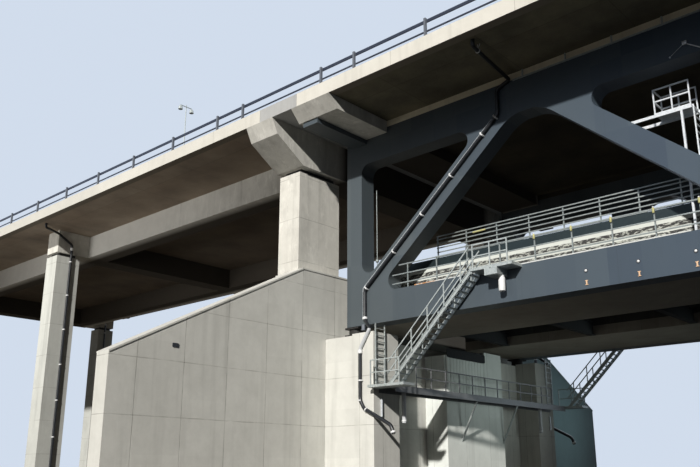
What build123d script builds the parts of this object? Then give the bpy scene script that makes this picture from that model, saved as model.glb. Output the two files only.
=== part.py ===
"""Double-deck bridge: a road viaduct that runs on over a steel railway truss, as a 1:10 model.

Units are millimetres of the model, so 100 mm stand for one real metre.
X runs along the bridge from the viaduct to the truss, +Z is up, and Y = 0 is the bridge's centre plane.
The origin is the middle of the bridge's length, at the level of the lowest foot.
The near side is the -Y side, and what both sides have is made there and mirrored.
"""
import os
from math import atan2, cos, degrees, floor, hypot, sin, tan

from build123d import *

os.makedirs("parts", exist_ok=True)

# Lengths along the bridge
bay_length = 2000
bay_count = 3
pier_pitch = 2485
pier_count = 2
transition_setback = 240
deck_overhang = 20
truss_end_margin = 25

# Levels above the lowest foot
chord_axis_z = 900
chord_below_axis = 72
bottom_chord_depth = 145
truss_rise = 863
top_chord_depth = 159
top_chord_above_axis = 35

# Truss members
truss_half_width = 780
member_thickness = 90
diagonal_width = 91
end_post_width = 97
corner_radius = 48
apex_radius = 190
gusset_margin = 6

# Road deck
deck_half_width = 1195
edge_beam_width = 45
kerb_width = 65
edge_beam_depth = 66
slab_edge_depth = 52
crown_rise = 14
haunch_height = 31
joint_slab_length = 259
truss_deck_setback = 28
joint_gap = 2

# Parapet on the road deck
parapet_pitch = 400
parapet_end_margin = 150
parapet_row_margin = 358
parapet_height = 88
parapet_post_size = 11
parapet_post_width = 10
parapet_rail_thickness = 5
parapet_top_rail_depth = 14
parapet_top_rail_drop = 11
parapet_low_rail_depth = 6
parapet_low_rail_level = 30
parapet_inset = 12

# Viaduct
girder_outer_y = 735
girder_width = 153
girder_depth = 159
crosshead_depth = 189
crosshead_half_width = 977
pier_crosshead_length = 150
transition_crosshead_length = 194
crosshead_knee_inset = 38
crosshead_knee_depth = 74
pier_column_length = 148
pier_column_width = 174
transition_column_length = 145
transition_column_width = 287
bearing_pad_height = 25
bearing_pad_length = 110
bearing_pad_inset = 25

# Abutment
wing_top_z = 1100
wing_reach = 1980
wing_thickness = 85
wing_end_drop = 508
coping_height = 8
coping_overhang = 3
plinth_margin = 18
plinth_inner_y = 650
back_wall_top_z = 955
wall_to_node = 130
shelf_to_node = 45
shelf_z = 785
shelf_step = 8
pedestal_length = 130
pedestal_width = 180
pedestal_outer_y = 820
block_half_width = 262
block_drop = 50
block_notch_y = 94
rib_width = 14
rib_depth = 5
rib_count = 10

# River pier
river_pier_length = 240
river_pier_half_width = 900

# Truss bearings
bearing_plate_size = 84
bearing_plate_height = 8
bearing_pot_radius = 34

# Crossbeams at the truss's ends and their steel brackets
end_beam_length = 250
end_beam_start = 10
end_beam_drop = 29
end_beam_taper = 58
end_bracket_start = 10
end_bracket_length = 95
end_bracket_depth = 24
end_bracket_inset = 7

# Railway troughs and tracks
trough_inner_y = 220
trough_floor_depth = 50
trough_inner_wall_width = 30
trough_inner_wall_height = 120
ledge_width = 90
duct_wall_width = 30
duct_wall_top_z = 1094
track_centre_y = 410
track_slab_width = 240
track_slab_height = 95
rail_gauge = 143.5
rail_head_width = 7
rail_head_height = 4
rail_web_width = 2.5
rail_foot_width = 15
rail_foot_height = 3
rail_height = 17
cross_beam_pitch = 500
cross_beam_depth = 70
cross_beam_width = 30
cross_beam_web = 4

# Railings beside the tracks
railing_pitch = 163
railing_end_margin = 348
railing_gusset_margin = 348
railing_post_size = 5
railing_rail_thickness = 3
railing_rail_depth = 5
chord_railing_levels = (24, 66, 110)
chord_railing_reaches = (86, 86, 46)
chord_railing_height = 115
track_railing_levels = (46, 69, 90, 111, 131, 147)
track_railing_height = 150

# Stairs and landings
stair_outer_y = 860
stair_width = 75
stair_foot_x = 295
stair_foot_z = 535
stair_head_x = 740
riser_count = 22
stringer_depth = 17
stringer_flange_width = 5
stringer_flange_thickness = 2.5
stringer_web = 2
tread_thickness = 3
lower_landing_length = 207
upper_landing_length = 200
landing_depth = 12
landing_bracket_length = 60
landing_bracket_depth = 28
landing_post_pitch = 82
lower_landing_rail_height = 110
upper_landing_rail_height = 100
ladder_outer_y = 815
ladder_width = 70
ladder_standoff = 5
ladder_stile_size = 5
ladder_rung_size = 3
ladder_rung_pitch = 30
ladder_rise = 35
handrail_height = 95
handrail_size = 5
handrail_thickness = 4
handrail_post_count = 5
mid_rail_share = 0.5

# Walkway across the abutment
walkway_width = 100
walkway_depth = 30
walkway_plate = 4
strut_first_y = -135
strut_pitch = 388
strut_count = 2
strut_drop = 180
strut_size = 8
walkway_post_pitch = 115

# Drainage: pipes down the truss and the abutment, down the piers and under the walkway
pipe_radius = 8.5
pipe_side_count = 12
pipe_inlet_x = 977
pipe_inlet_inset = 67
pipe_inlet_drop = 29
pipe_haunch_x = 938
pipe_drop_x = 870
pipe_haunch_drop = 25
pipe_lift = 10
pipe_fall_x = 97
pipe_bend_x = 161
pipe_crook_top_z = 852
pipe_crook_z = 797
pipe_shaft_x = 101
pipe_shaft_top_z = 709
pipe_shaft_foot_z = 475
pipe_elbow_x = 124
pipe_elbow_z = 436
pipe_shoe_x = 280
pipe_shoe_z = 357
pipe_spout_x = 295
pipe_spout_z = 320
pier_pipe_inlet_reach = 72
pier_pipe_inlet_inset = 76
pier_pipe_elbow_drop = 65
pier_pipe_y = 875
pier_pipe_foot_z = 30
outlet_radius = 10
outlet_x = 195
outlet_y = 628
outlet_length = 145

# Rail along the foot of the deck's haunches, and its hangers
service_rail_start = 950
service_rail_size = 6
hanger_pitch = 200
hanger_width = 5

# Inspection platform and its ladder inside the first truss bay
platform_start = 1500
platform_length = 138
platform_width = 84
platform_z = 1490
platform_depth = 5
platform_beam_reach = 190
platform_beam_depth = 12
platform_beam_width = 6
platform_rail_height = 100
platform_post_size = 5
platform_column_x = 1600
platform_column_size = 8

# Lamp posts on the crown of the road
lamp_first_x = -2603
lamp_pitch = 4000
lamp_height = 1240
lamp_foot_radius = 9
lamp_top_radius = 4
lamp_side_count = 8
lamp_arm_reach = 56
lamp_arm_size = 5
lamp_stub_height = 13
lamp_rim_radius = 20
lamp_shoulder_radius = 17
lamp_crown_radius = 7
lamp_skirt_height = 22
lamp_dome_height = 15

# Levels and half widths that follow
chord_bottom_z = chord_axis_z - chord_below_axis
chord_top_z = chord_bottom_z + bottom_chord_depth
top_axis_z = chord_axis_z + truss_rise
top_chord_top_z = top_axis_z + top_chord_above_axis
top_chord_bottom_z = top_chord_top_z - top_chord_depth
soffit_z = top_chord_top_z + haunch_height
edge_top_z = soffit_z + edge_beam_depth
slab_edge_z = soffit_z + slab_edge_depth
crown_z = slab_edge_z + crown_rise
crosshead_bottom_z = soffit_z - crosshead_depth
column_top_z = crosshead_bottom_z - bearing_pad_height
pier_top_z = soffit_z - girder_depth - bearing_pad_height
member_inner_y = truss_half_width - member_thickness
slab_half_width = deck_half_width - edge_beam_width
knee_half_width = deck_half_width - crosshead_knee_inset
end_beam_foot_half_width = deck_half_width - end_beam_taper
end_beam_foot_z = top_chord_top_z - end_beam_drop
duct_wall_outer_y = member_inner_y - ledge_width
track_slab_z = chord_bottom_z + trough_floor_depth

# Places along the bridge that follow
truss_length = bay_length * bay_count
half_bay = bay_length / 2
viaduct_reach = transition_setback + pier_pitch * pier_count + pier_crosshead_length / 2 + deck_overhang
truss_reach = truss_length + river_pier_length / 2
end_node_x = (viaduct_reach - truss_reach) / 2
far_node_x = end_node_x + truss_length
truss_centre_x = (end_node_x + far_node_x) / 2
truss_west_x = end_node_x - truss_end_margin
truss_east_x = far_node_x + truss_end_margin
transition_x = end_node_x - transition_setback
pier_xs = [transition_x - pier_pitch * (number + 1) for number in range(pier_count)]
deck_west_x = end_node_x - viaduct_reach
truss_deck_x = end_node_x + truss_deck_setback
joint_slab_x = truss_deck_x - joint_gap - joint_slab_length
wall_face_x = end_node_x - wall_to_node
shelf_face_x = end_node_x + shelf_to_node
pedestal_face_x = shelf_face_x + pedestal_length

# Slope and length of the truss's diagonals
diagonal_angle = atan2(truss_rise, half_bay)
diagonal_length = hypot(truss_rise, half_bay)
diagonal_half_height = diagonal_width / 2 / cos(diagonal_angle)


def save(piece, label):
    """Name a finished piece and write it to its own file."""
    piece.label = label
    export_step(piece, f"parts/{label}.step")


def near_side(y):
    """Plane of an elevation at -y, whose normal points out of the near side."""
    return Plane.XZ.offset(y)


def across(x):
    """Plane of a cross-section at x, whose normal points along the bridge."""
    return Plane.YZ.offset(x)


def level(z):
    """Plane of a plan at height z."""
    return Plane.XY.offset(z)


def corner_reach(chord_offset):
    """Distance from a node along its diagonal to where the rounded corner at the chord ends.

    chord_offset is the height from the node to the inner edge of its chord.
    """
    run = (chord_offset + diagonal_half_height) / tan(diagonal_angle)
    tangent = corner_radius / tan(diagonal_angle / 2)
    return run * cos(diagonal_angle) + chord_offset * sin(diagonal_angle) + tangent


top_gusset_reach = corner_reach(top_axis_z - top_chord_bottom_z) + gusset_margin
bottom_gusset_reach = corner_reach(chord_top_z - chord_axis_z) + gusset_margin


# Elevations of the truss: sketch X is the bridge's X, and sketch Y is its height
def panel_opening(number):
    """Rounded triangle below a top node (odd numbers) or above a bottom node (even numbers)."""
    node_x = end_node_x + half_bay * number
    under_top_node = number % 2 == 1
    base_z = chord_top_z if under_top_node else top_chord_bottom_z
    apex_z = top_axis_z - diagonal_half_height if under_top_node else chord_axis_z + diagonal_half_height
    half_base = abs(apex_z - base_z) / tan(diagonal_angle)
    base_corners = [(node_x - half_base, base_z), (node_x + half_base, base_z)]
    with BuildSketch(mode=Mode.PRIVATE) as opening:
        with BuildLine():
            Polyline(*base_corners, (node_x, apex_z), close=True)
        make_face()
        corners = opening.vertices().sort_by(Axis.Y, reverse=not under_top_node)
        fillet(corners[-1], apex_radius)
        corners = opening.vertices().sort_by(Axis.X)
        fillet([corners[0], corners[-1]], corner_radius)
    return opening.sketch


def end_opening():
    """Rounded triangle between the first end post and the diagonal that rises from its foot."""
    post_face_x = truss_west_x + end_post_width
    foot_z = chord_axis_z + (post_face_x - end_node_x) * tan(diagonal_angle) + diagonal_half_height
    tip_x = end_node_x + (top_chord_bottom_z - chord_axis_z - diagonal_half_height) / tan(diagonal_angle)
    post_corners = [(post_face_x, foot_z), (post_face_x, top_chord_bottom_z)]
    with BuildSketch(mode=Mode.PRIVATE) as opening:
        with BuildLine():
            Polyline(*post_corners, (tip_x, top_chord_bottom_z), close=True)
        make_face()
        fillet(opening.vertices(), corner_radius)
    return opening.sketch


def diagonal_bars(bar_width):
    """The square-ended middle stretch of every diagonal, between its gussets."""
    bar_length = diagonal_length - top_gusset_reach - bottom_gusset_reach
    middle = bottom_gusset_reach + bar_length / 2
    middle_run = middle * cos(diagonal_angle)
    middle_z = chord_axis_z + middle * sin(diagonal_angle)
    for number in range(2 * bay_count):
        rising = number % 2 == 0
        foot_x = end_node_x + half_bay * (number if rising else number + 1)
        lean = 1 if rising else -1
        with Locations((foot_x + lean * middle_run, middle_z)):
            Rectangle(bar_length, bar_width, rotation=lean * degrees(diagonal_angle))


# Bottom chords: box members that carry the railway troughs
with BuildPart() as bottom_chords:
    with BuildSketch(near_side(member_inner_y)):
        with Locations((truss_centre_x, chord_bottom_z + bottom_chord_depth / 2)):
            Rectangle(truss_east_x - truss_west_x, bottom_chord_depth)
    extrude(amount=member_thickness)
    mirror(about=Plane.XZ)
save(bottom_chords.part, "bottom_chords")

# Top chords: box members that carry the road deck
with BuildPart() as top_chords:
    with BuildSketch(near_side(member_inner_y)):
        with Locations((truss_centre_x, top_chord_top_z - top_chord_depth / 2)):
            Rectangle(truss_east_x - truss_west_x, top_chord_depth)
    extrude(amount=member_thickness)
    mirror(about=Plane.XZ)
save(top_chords.part, "top_chords")

# End posts: the uprights that close the truss at both ends
with BuildPart() as end_posts:
    with BuildSketch(near_side(member_inner_y)):
        with Locations((truss_centre_x, (chord_top_z + top_chord_bottom_z) / 2)):
            with GridLocations(truss_east_x - truss_west_x - end_post_width, 0, 2, 1):
                Rectangle(end_post_width, top_chord_bottom_z - chord_top_z)
    extrude(amount=member_thickness)
    mirror(about=Plane.XZ)
save(end_posts.part, "end_posts")

# Diagonals of the Warren bracing
with BuildPart() as diagonals:
    with BuildSketch(near_side(member_inner_y)):
        diagonal_bars(diagonal_width)
    extrude(amount=member_thickness)
    mirror(about=Plane.XZ)
save(diagonals.part, "diagonals")

# Node gussets: what is left of the web between the chords once the rounded openings are cut out
with BuildPart() as node_gussets:
    with BuildSketch(near_side(member_inner_y)):
        with Locations((truss_centre_x, (chord_top_z + top_chord_bottom_z) / 2)):
            Rectangle(truss_east_x - truss_west_x - 2 * end_post_width, top_chord_bottom_z - chord_top_z)
        for panel in range(1, 2 * bay_count):
            add(panel_opening(panel), mode=Mode.SUBTRACT)
        first_opening = end_opening()
        add(first_opening, mode=Mode.SUBTRACT)
        last_opening = mirror(first_opening, about=Plane.YZ.offset(truss_centre_x), mode=Mode.PRIVATE)
        add(last_opening, mode=Mode.SUBTRACT)
        with BuildSketch(mode=Mode.PRIVATE) as bars_cut:
            diagonal_bars(diagonal_width + gusset_margin)
        add(bars_cut.sketch, mode=Mode.SUBTRACT)
    extrude(amount=member_thickness)
    mirror(about=Plane.XZ)
save(node_gussets.part, "node_gussets")


# Road deck: cross-sections have sketch X along the bridge's Y, and sketch Y as height
def slab_section():
    """Half-and-half slab with a flat soffit, a crown in the middle and flat seats for the kerbs."""
    kerb_y = deck_half_width - kerb_width
    Polygon(
        (-slab_half_width, soffit_z),
        (slab_half_width, soffit_z),
        (slab_half_width, slab_edge_z),
        (kerb_y, slab_edge_z),
        (0, crown_z),
        (-kerb_y, slab_edge_z),
        (-slab_half_width, slab_edge_z),
        align=None,
    )


def edge_beam_section():
    """Near edge beam: it hangs outside the slab, and its kerb lies on the slab's edge."""
    Polygon(
        (-deck_half_width, soffit_z),
        (-slab_half_width, soffit_z),
        (-slab_half_width, slab_edge_z),
        (kerb_width - deck_half_width, slab_edge_z),
        (kerb_width - deck_half_width, edge_top_z),
        (-deck_half_width, edge_top_z),
        align=None,
    )


viaduct_deck_length = joint_slab_x - joint_gap - deck_west_x
truss_deck_length = truss_east_x - truss_deck_x

with BuildPart() as viaduct_deck:
    with BuildSketch(across(deck_west_x)):
        slab_section()
    extrude(amount=viaduct_deck_length)
save(viaduct_deck.part, "viaduct_deck")

# Short slab that bridges the expansion joint between the viaduct and the truss
with BuildPart() as joint_slab:
    with BuildSketch(across(joint_slab_x)):
        slab_section()
    extrude(amount=joint_slab_length)
save(joint_slab.part, "joint_slab")

with BuildPart() as truss_deck:
    with BuildSketch(across(truss_deck_x)):
        slab_section()
    extrude(amount=truss_deck_length)
save(truss_deck.part, "truss_deck")

with BuildPart() as edge_beams:
    with BuildSketch(across(deck_west_x)):
        edge_beam_section()
    extrude(amount=viaduct_deck_length)
    with BuildSketch(across(truss_deck_x)):
        edge_beam_section()
    extrude(amount=truss_deck_length)
    mirror(about=Plane.XZ)
save(edge_beams.part, "edge_beams")

with BuildPart() as joint_edge_covers:
    with BuildSketch(across(joint_slab_x)):
        edge_beam_section()
    extrude(amount=joint_slab_length)
    mirror(about=Plane.XZ)
save(joint_edge_covers.part, "joint_edge_covers")

# Concrete haunches that seat the deck slab on the top chords
with BuildPart() as deck_haunches:
    haunch_start = end_node_x - end_beam_start + end_beam_length
    with BuildSketch(across(haunch_start)):
        with Locations(((-truss_half_width - member_inner_y) / 2, (top_chord_top_z + soffit_z) / 2)):
            Rectangle(member_thickness, haunch_height)
    extrude(amount=2 * (truss_centre_x - haunch_start))
    mirror(about=Plane.XZ)
save(deck_haunches.part, "deck_haunches")

# Concrete crossbeams that end the deck: they hang outside the chords and are notched over them
with BuildPart() as end_crossbeams:
    with BuildSketch(across(end_node_x - end_beam_start)):
        with BuildLine():
            Polyline(
                (-deck_half_width, soffit_z),
                (-end_beam_foot_half_width, end_beam_foot_z),
                (end_beam_foot_half_width, end_beam_foot_z),
                (deck_half_width, soffit_z),
                close=True,
            )
        make_face()
        with Locations((0, top_chord_top_z - end_beam_drop / 2)):
            with GridLocations(truss_half_width + member_inner_y, 0, 2, 1):
                Rectangle(member_thickness, end_beam_drop, mode=Mode.SUBTRACT)
    extrude(amount=end_beam_length)
    mirror(about=Plane.YZ.offset(truss_centre_x))
save(end_crossbeams.part, "end_crossbeams")

# Steel brackets that carry the crossbeams' ends outside the truss
with BuildPart() as end_brackets:
    bracket_half_width = end_beam_foot_half_width - end_bracket_inset
    bracket_middle_z = end_beam_foot_z - end_bracket_depth / 2
    with BuildSketch(across(end_node_x + end_bracket_start)):
        with Locations((-(bracket_half_width + truss_half_width) / 2, bracket_middle_z)):
            Rectangle(bracket_half_width - truss_half_width, end_bracket_depth)
    extrude(amount=end_bracket_length)
    mirror(about=Plane.YZ.offset(truss_centre_x))
    mirror(about=Plane.XZ)
save(end_brackets.part, "end_brackets")


# Parapet along both edges of the deck
def pattern_count(stretch, pitch):
    """How many copies at this pitch fit on a stretch, one at each end of their row."""
    return floor(stretch / pitch) + 1


def parapet_row(joint_x, lean, stretch):
    """X places of one deck's posts, counted from its joint: an end post, then an even row."""
    row = [joint_x + lean * parapet_end_margin]
    for number in range(pattern_count(stretch - parapet_row_margin - parapet_end_margin, parapet_pitch)):
        row.append(joint_x + lean * (parapet_row_margin + parapet_pitch * number))
    return row


parapet_post_xs = parapet_row(joint_slab_x - joint_gap, -1, viaduct_deck_length)
parapet_post_xs += parapet_row(truss_deck_x, 1, truss_deck_length)
parapet_y = deck_half_width - parapet_inset
parapet_rail_y = parapet_y - (parapet_post_size + parapet_rail_thickness) / 2

with BuildPart() as parapet_posts:
    with BuildSketch(level(edge_top_z)):
        for post_x in parapet_post_xs:
            with Locations((post_x, 0)):
                with GridLocations(0, 2 * parapet_y, 1, 2):
                    Rectangle(parapet_post_width, parapet_post_size)
    extrude(amount=parapet_height)
save(parapet_posts.part, "parapet_posts")

with BuildPart() as parapet_rails:
    with BuildSketch(across(deck_west_x)):
        with Locations((0, edge_top_z + parapet_height - parapet_top_rail_drop)):
            with GridLocations(2 * parapet_rail_y, 0, 2, 1):
                Rectangle(parapet_rail_thickness, parapet_top_rail_depth)
        with Locations((0, edge_top_z + parapet_low_rail_level)):
            with GridLocations(2 * parapet_rail_y, 0, 2, 1):
                Rectangle(parapet_rail_thickness, parapet_low_rail_depth)
    extrude(amount=truss_east_x - deck_west_x)
save(parapet_rails.part, "parapet_rails")

# Viaduct girders: they frame into the crossheads
half_crosshead = pier_crosshead_length / 2
girder_spans = [(deck_west_x, pier_xs[-1] - half_crosshead)]
for west_pier, east_pier in zip(pier_xs[:0:-1], pier_xs[-2::-1]):
    girder_spans.append((west_pier + half_crosshead, east_pier - half_crosshead))
girder_spans.append((pier_xs[0] + half_crosshead, transition_x - transition_crosshead_length / 2))

with BuildPart() as viaduct_girders:
    for span_start, span_end in girder_spans:
        with BuildSketch(across(span_start)):
            with Locations((girder_width / 2 - girder_outer_y, soffit_z - girder_depth / 2)):
                Rectangle(girder_width, girder_depth)
        extrude(amount=span_end - span_start)
    mirror(about=Plane.XZ)
save(viaduct_girders.part, "viaduct_girders")

# Crossheads of the piers, as deep as the girders
with BuildPart() as pier_crossheads:
    for pier_x in pier_xs:
        with BuildSketch(across(pier_x - pier_crosshead_length / 2)):
            with Locations((0, soffit_z - girder_depth / 2)):
                Rectangle(2 * crosshead_half_width, girder_depth)
        extrude(amount=pier_crosshead_length)
save(pier_crossheads.part, "pier_crossheads")

# Crosshead at the transition, whose haunched tips reach out under the deck's edges
with BuildPart() as transition_crosshead:
    with BuildSketch(across(transition_x - transition_crosshead_length / 2)):
        with BuildLine():
            Polyline(
                (-deck_half_width, soffit_z),
                (-knee_half_width, soffit_z - crosshead_knee_depth),
                (-crosshead_half_width, crosshead_bottom_z),
                (crosshead_half_width, crosshead_bottom_z),
                (knee_half_width, soffit_z - crosshead_knee_depth),
                (deck_half_width, soffit_z),
                close=True,
            )
        make_face()
    extrude(amount=transition_crosshead_length)
save(transition_crosshead.part, "transition_crosshead")

# Columns: two to a pier, on each side of the tracks
with BuildPart() as pier_columns:
    for pier_x in pier_xs:
        with BuildSketch(level(0)):
            with Locations((pier_x, 0)):
                with GridLocations(0, 2 * crosshead_half_width - pier_column_width, 1, 2):
                    Rectangle(pier_column_length, pier_column_width)
        extrude(amount=pier_top_z)
save(pier_columns.part, "pier_columns")

with BuildPart() as transition_columns:
    with BuildSketch(level(wing_top_z)):
        with Locations((transition_x, 0)):
            with GridLocations(0, 2 * crosshead_half_width - transition_column_width, 1, 2):
                Rectangle(transition_column_length, transition_column_width)
    extrude(amount=column_top_z - wing_top_z)
save(transition_columns.part, "transition_columns")

# Bearing pads between the columns and the crossheads
columns = [(pier_x, pier_column_width, pier_top_z) for pier_x in pier_xs]
columns.append((transition_x, transition_column_width, column_top_z))
with BuildPart() as column_bearings:
    for column_x, column_width, top_z in columns:
        with BuildSketch(level(top_z)):
            with Locations((column_x, 0)):
                with GridLocations(0, 2 * crosshead_half_width - column_width, 1, 2):
                    Rectangle(bearing_pad_length, column_width - 2 * bearing_pad_inset)
        extrude(amount=bearing_pad_height)
save(column_bearings.part, "column_bearings")

# Plinths of the transition columns, in line with the wing walls
column_front_x = transition_x + transition_column_length / 2
plinth_start_x = transition_x - transition_column_length / 2 - plinth_margin
with BuildPart() as column_plinths:
    with BuildSketch(across(plinth_start_x)):
        with Locations((-(plinth_inner_y + crosshead_half_width) / 2, wing_top_z / 2)):
            Rectangle(crosshead_half_width - plinth_inner_y, wing_top_z)
    extrude(amount=wall_face_x - plinth_start_x)
    mirror(about=Plane.XZ)
save(column_plinths.part, "column_plinths")

# Wing walls: they run out from the plinths across the bridge, down a 1:2 slope
wing_end_top_z = wing_top_z - wing_end_drop
with BuildPart() as wing_walls:
    with BuildSketch(across(wall_face_x - wing_thickness)):
        with BuildLine():
            Polyline(
                (-crosshead_half_width, 0),
                (-crosshead_half_width, wing_top_z),
                (-wing_reach, wing_end_top_z),
                (-wing_reach, 0),
                close=True,
            )
        make_face()
    extrude(amount=wing_thickness)
    mirror(about=Plane.XZ)
save(wing_walls.part, "wing_walls")

# Copings: a lip along each plinth's front edge, and a full cap down each sloping wall
with BuildPart() as wing_wall_copings:
    with BuildSketch(across(column_front_x)):
        with Locations((-(plinth_inner_y + crosshead_half_width) / 2, wing_top_z)):
            Rectangle(crosshead_half_width - plinth_inner_y, coping_height, align=(Align.CENTER, Align.MIN))
    extrude(amount=wall_face_x + coping_overhang - column_front_x)
    with BuildSketch(across(wall_face_x - wing_thickness - coping_overhang)):
        with BuildLine():
            Polyline(
                (-crosshead_half_width, wing_top_z),
                (-crosshead_half_width, wing_top_z + coping_height),
                (-wing_reach, wing_end_top_z + coping_height),
                (-wing_reach, wing_end_top_z),
                close=True,
            )
        make_face()
    extrude(amount=wing_thickness + 2 * coping_overhang)
    mirror(about=Plane.XZ)
save(wing_wall_copings.part, "wing_wall_copings")

# Back wall between the wing walls, which ends the embankment under the tracks
with BuildPart() as back_wall:
    with BuildSketch(across(wall_face_x - wing_thickness)):
        with Locations((0, back_wall_top_z / 2)):
            Rectangle(2 * plinth_inner_y, back_wall_top_z)
    extrude(amount=wing_thickness)
save(back_wall.part, "back_wall")

# Abutment body with the shelf that the truss ends over
with BuildPart() as abutment_body:
    with BuildSketch(across(wall_face_x)):
        with Locations((0, (shelf_z - shelf_step) / 2)):
            Rectangle(2 * pedestal_outer_y, shelf_z - shelf_step)
    extrude(amount=shelf_face_x - wall_face_x)
save(abutment_body.part, "abutment_body")

with BuildPart() as bearing_pedestals:
    with BuildSketch(across(shelf_face_x)):
        with Locations((pedestal_width / 2 - pedestal_outer_y, shelf_z / 2)):
            Rectangle(pedestal_width, shelf_z)
    extrude(amount=pedestal_length)
    mirror(about=Plane.XZ)
save(bearing_pedestals.part, "bearing_pedestals")

# Middle block of the abutment: a lower near part, ribbed above the walkway, and a full-height far part
with BuildPart() as ribbed_block:
    block_top_z = shelf_z - block_drop
    ribbed_width = block_half_width + block_notch_y
    ribbed_middle_y = (block_notch_y - block_half_width) / 2
    with BuildSketch(across(shelf_face_x)):
        with Locations((0, block_top_z / 2)):
            Rectangle(2 * block_half_width, block_top_z)
        with Locations(((block_notch_y + block_half_width) / 2, shelf_z / 2)):
            Rectangle(block_half_width - block_notch_y, shelf_z)
    extrude(amount=pedestal_length - rib_depth)
    with BuildSketch(across(pedestal_face_x - rib_depth)):
        with Locations((ribbed_middle_y, stair_foot_z / 2)):
            Rectangle(ribbed_width, stair_foot_z)
        with Locations(((block_notch_y + block_half_width) / 2, shelf_z / 2)):
            Rectangle(block_half_width - block_notch_y, shelf_z)
        with Locations((ribbed_middle_y, (stair_foot_z + block_top_z) / 2)):
            with GridLocations(ribbed_width / rib_count, 0, rib_count, 1):
                Rectangle(rib_width, block_top_z - stair_foot_z)
    extrude(amount=rib_depth)
save(ribbed_block.part, "ribbed_block")

# River pier under the far end of the truss, with rounded ends
with BuildPart() as river_pier:
    with BuildSketch(level(0)):
        with Locations((far_node_x, 0)):
            SlotOverall(2 * river_pier_half_width, river_pier_length, rotation=90)
    extrude(amount=shelf_z)
save(river_pier.part, "river_pier")

# Pot bearings under the ends of both trusses
with BuildPart() as truss_bearings:
    for plate_z in (shelf_z, chord_bottom_z - bearing_plate_height):
        with BuildSketch(level(plate_z)):
            with Locations((truss_centre_x, 0)):
                with GridLocations(truss_length, truss_half_width + member_inner_y, 2, 2):
                    Rectangle(bearing_plate_size, bearing_plate_size)
        extrude(amount=bearing_plate_height)
    with BuildSketch(level(shelf_z)):
        with Locations((truss_centre_x, 0)):
            with GridLocations(truss_length, truss_half_width + member_inner_y, 2, 2):
                Circle(bearing_pot_radius)
    extrude(amount=chord_bottom_z - shelf_z)
save(truss_bearings.part, "truss_bearings")

# Railway troughs between the bottom chords: near half of each section, then mirrored
trough_start = truss_west_x
trough_length = truss_east_x - truss_west_x

with BuildPart() as trough_floors:
    with BuildSketch(across(trough_start)):
        with Locations((-(member_inner_y + trough_inner_y) / 2, chord_bottom_z + trough_floor_depth / 2)):
            Rectangle(member_inner_y - trough_inner_y, trough_floor_depth)
    extrude(amount=trough_length)
    mirror(about=Plane.XZ)
save(trough_floors.part, "trough_floors")

# Ledges level with the chords' tops: the service walkways beside the tracks
with BuildPart() as walkway_ledges:
    with BuildSketch(across(trough_start)):
        with Locations((-(member_inner_y + duct_wall_outer_y) / 2, (track_slab_z + chord_top_z) / 2)):
            Rectangle(ledge_width, chord_top_z - track_slab_z)
    extrude(amount=trough_length)
    mirror(about=Plane.XZ)
save(walkway_ledges.part, "walkway_ledges")

# Duct walls between the walkways and the tracks
with BuildPart() as duct_walls:
    with BuildSketch(across(trough_start)):
        with Locations((duct_wall_width / 2 - duct_wall_outer_y, (track_slab_z + duct_wall_top_z) / 2)):
            Rectangle(duct_wall_width, duct_wall_top_z - track_slab_z)
    extrude(amount=trough_length)
    mirror(about=Plane.XZ)
save(duct_walls.part, "duct_walls")

with BuildPart() as trough_inner_walls:
    with BuildSketch(across(trough_start)):
        with Locations((-trough_inner_y, track_slab_z)):
            Rectangle(trough_inner_wall_width, trough_inner_wall_height, align=(Align.MAX, Align.MIN))
    extrude(amount=trough_length)
    mirror(about=Plane.XZ)
save(trough_inner_walls.part, "trough_inner_walls")

with BuildPart() as track_slabs:
    with BuildSketch(across(trough_start)):
        with Locations((-track_centre_y, track_slab_z + track_slab_height / 2)):
            Rectangle(track_slab_width, track_slab_height)
    extrude(amount=trough_length)
    mirror(about=Plane.XZ)
save(track_slabs.part, "track_slabs")

# Rails: a foot, a web and a head, drawn on the gauge
with BuildPart() as track_rails:
    rail_foot_z = track_slab_z + track_slab_height
    with BuildSketch(across(trough_start)):
        with Locations((-track_centre_y, rail_foot_z)):
            with GridLocations(rail_gauge + rail_head_width, 0, 2, 1):
                Rectangle(rail_foot_width, rail_foot_height, align=(Align.CENTER, Align.MIN))
                Rectangle(rail_web_width, rail_height, align=(Align.CENTER, Align.MIN))
        with Locations((-track_centre_y, rail_foot_z + rail_height)):
            with GridLocations(rail_gauge + rail_head_width, 0, 2, 1):
                Rectangle(rail_head_width, rail_head_height, align=(Align.CENTER, Align.MAX))
    extrude(amount=trough_length)
    mirror(about=Plane.XZ)
save(track_rails.part, "track_rails")

# Steel cross beams over the open space between the two troughs
with BuildPart() as lower_cross_beams:
    beam_count = pattern_count(truss_length - cross_beam_pitch, cross_beam_pitch)
    beam_middle_z = chord_bottom_z + cross_beam_depth / 2
    flange_z = (cross_beam_depth - cross_beam_web) / 2
    with BuildSketch(near_side(-trough_inner_y)):
        with Locations((truss_centre_x, beam_middle_z)):
            with GridLocations(cross_beam_pitch, 0, beam_count, 1):
                Rectangle(cross_beam_web, cross_beam_depth)
            with GridLocations(cross_beam_pitch, 2 * flange_z, beam_count, 2):
                Rectangle(cross_beam_width, cross_beam_web)
    extrude(amount=2 * trough_inner_y)
save(lower_cross_beams.part, "lower_cross_beams")


# Railings beside the tracks: posts in one node, and the rails on their outer faces in another
def railing_post_plan(middle_x, outer_y, post_count):
    """Both rows of posts in plan, with their outer faces at outer_y."""
    with Locations((middle_x, 0)):
        with GridLocations(railing_pitch, 2 * outer_y - railing_post_size, post_count, 2):
            Rectangle(railing_post_size, railing_post_size)


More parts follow.
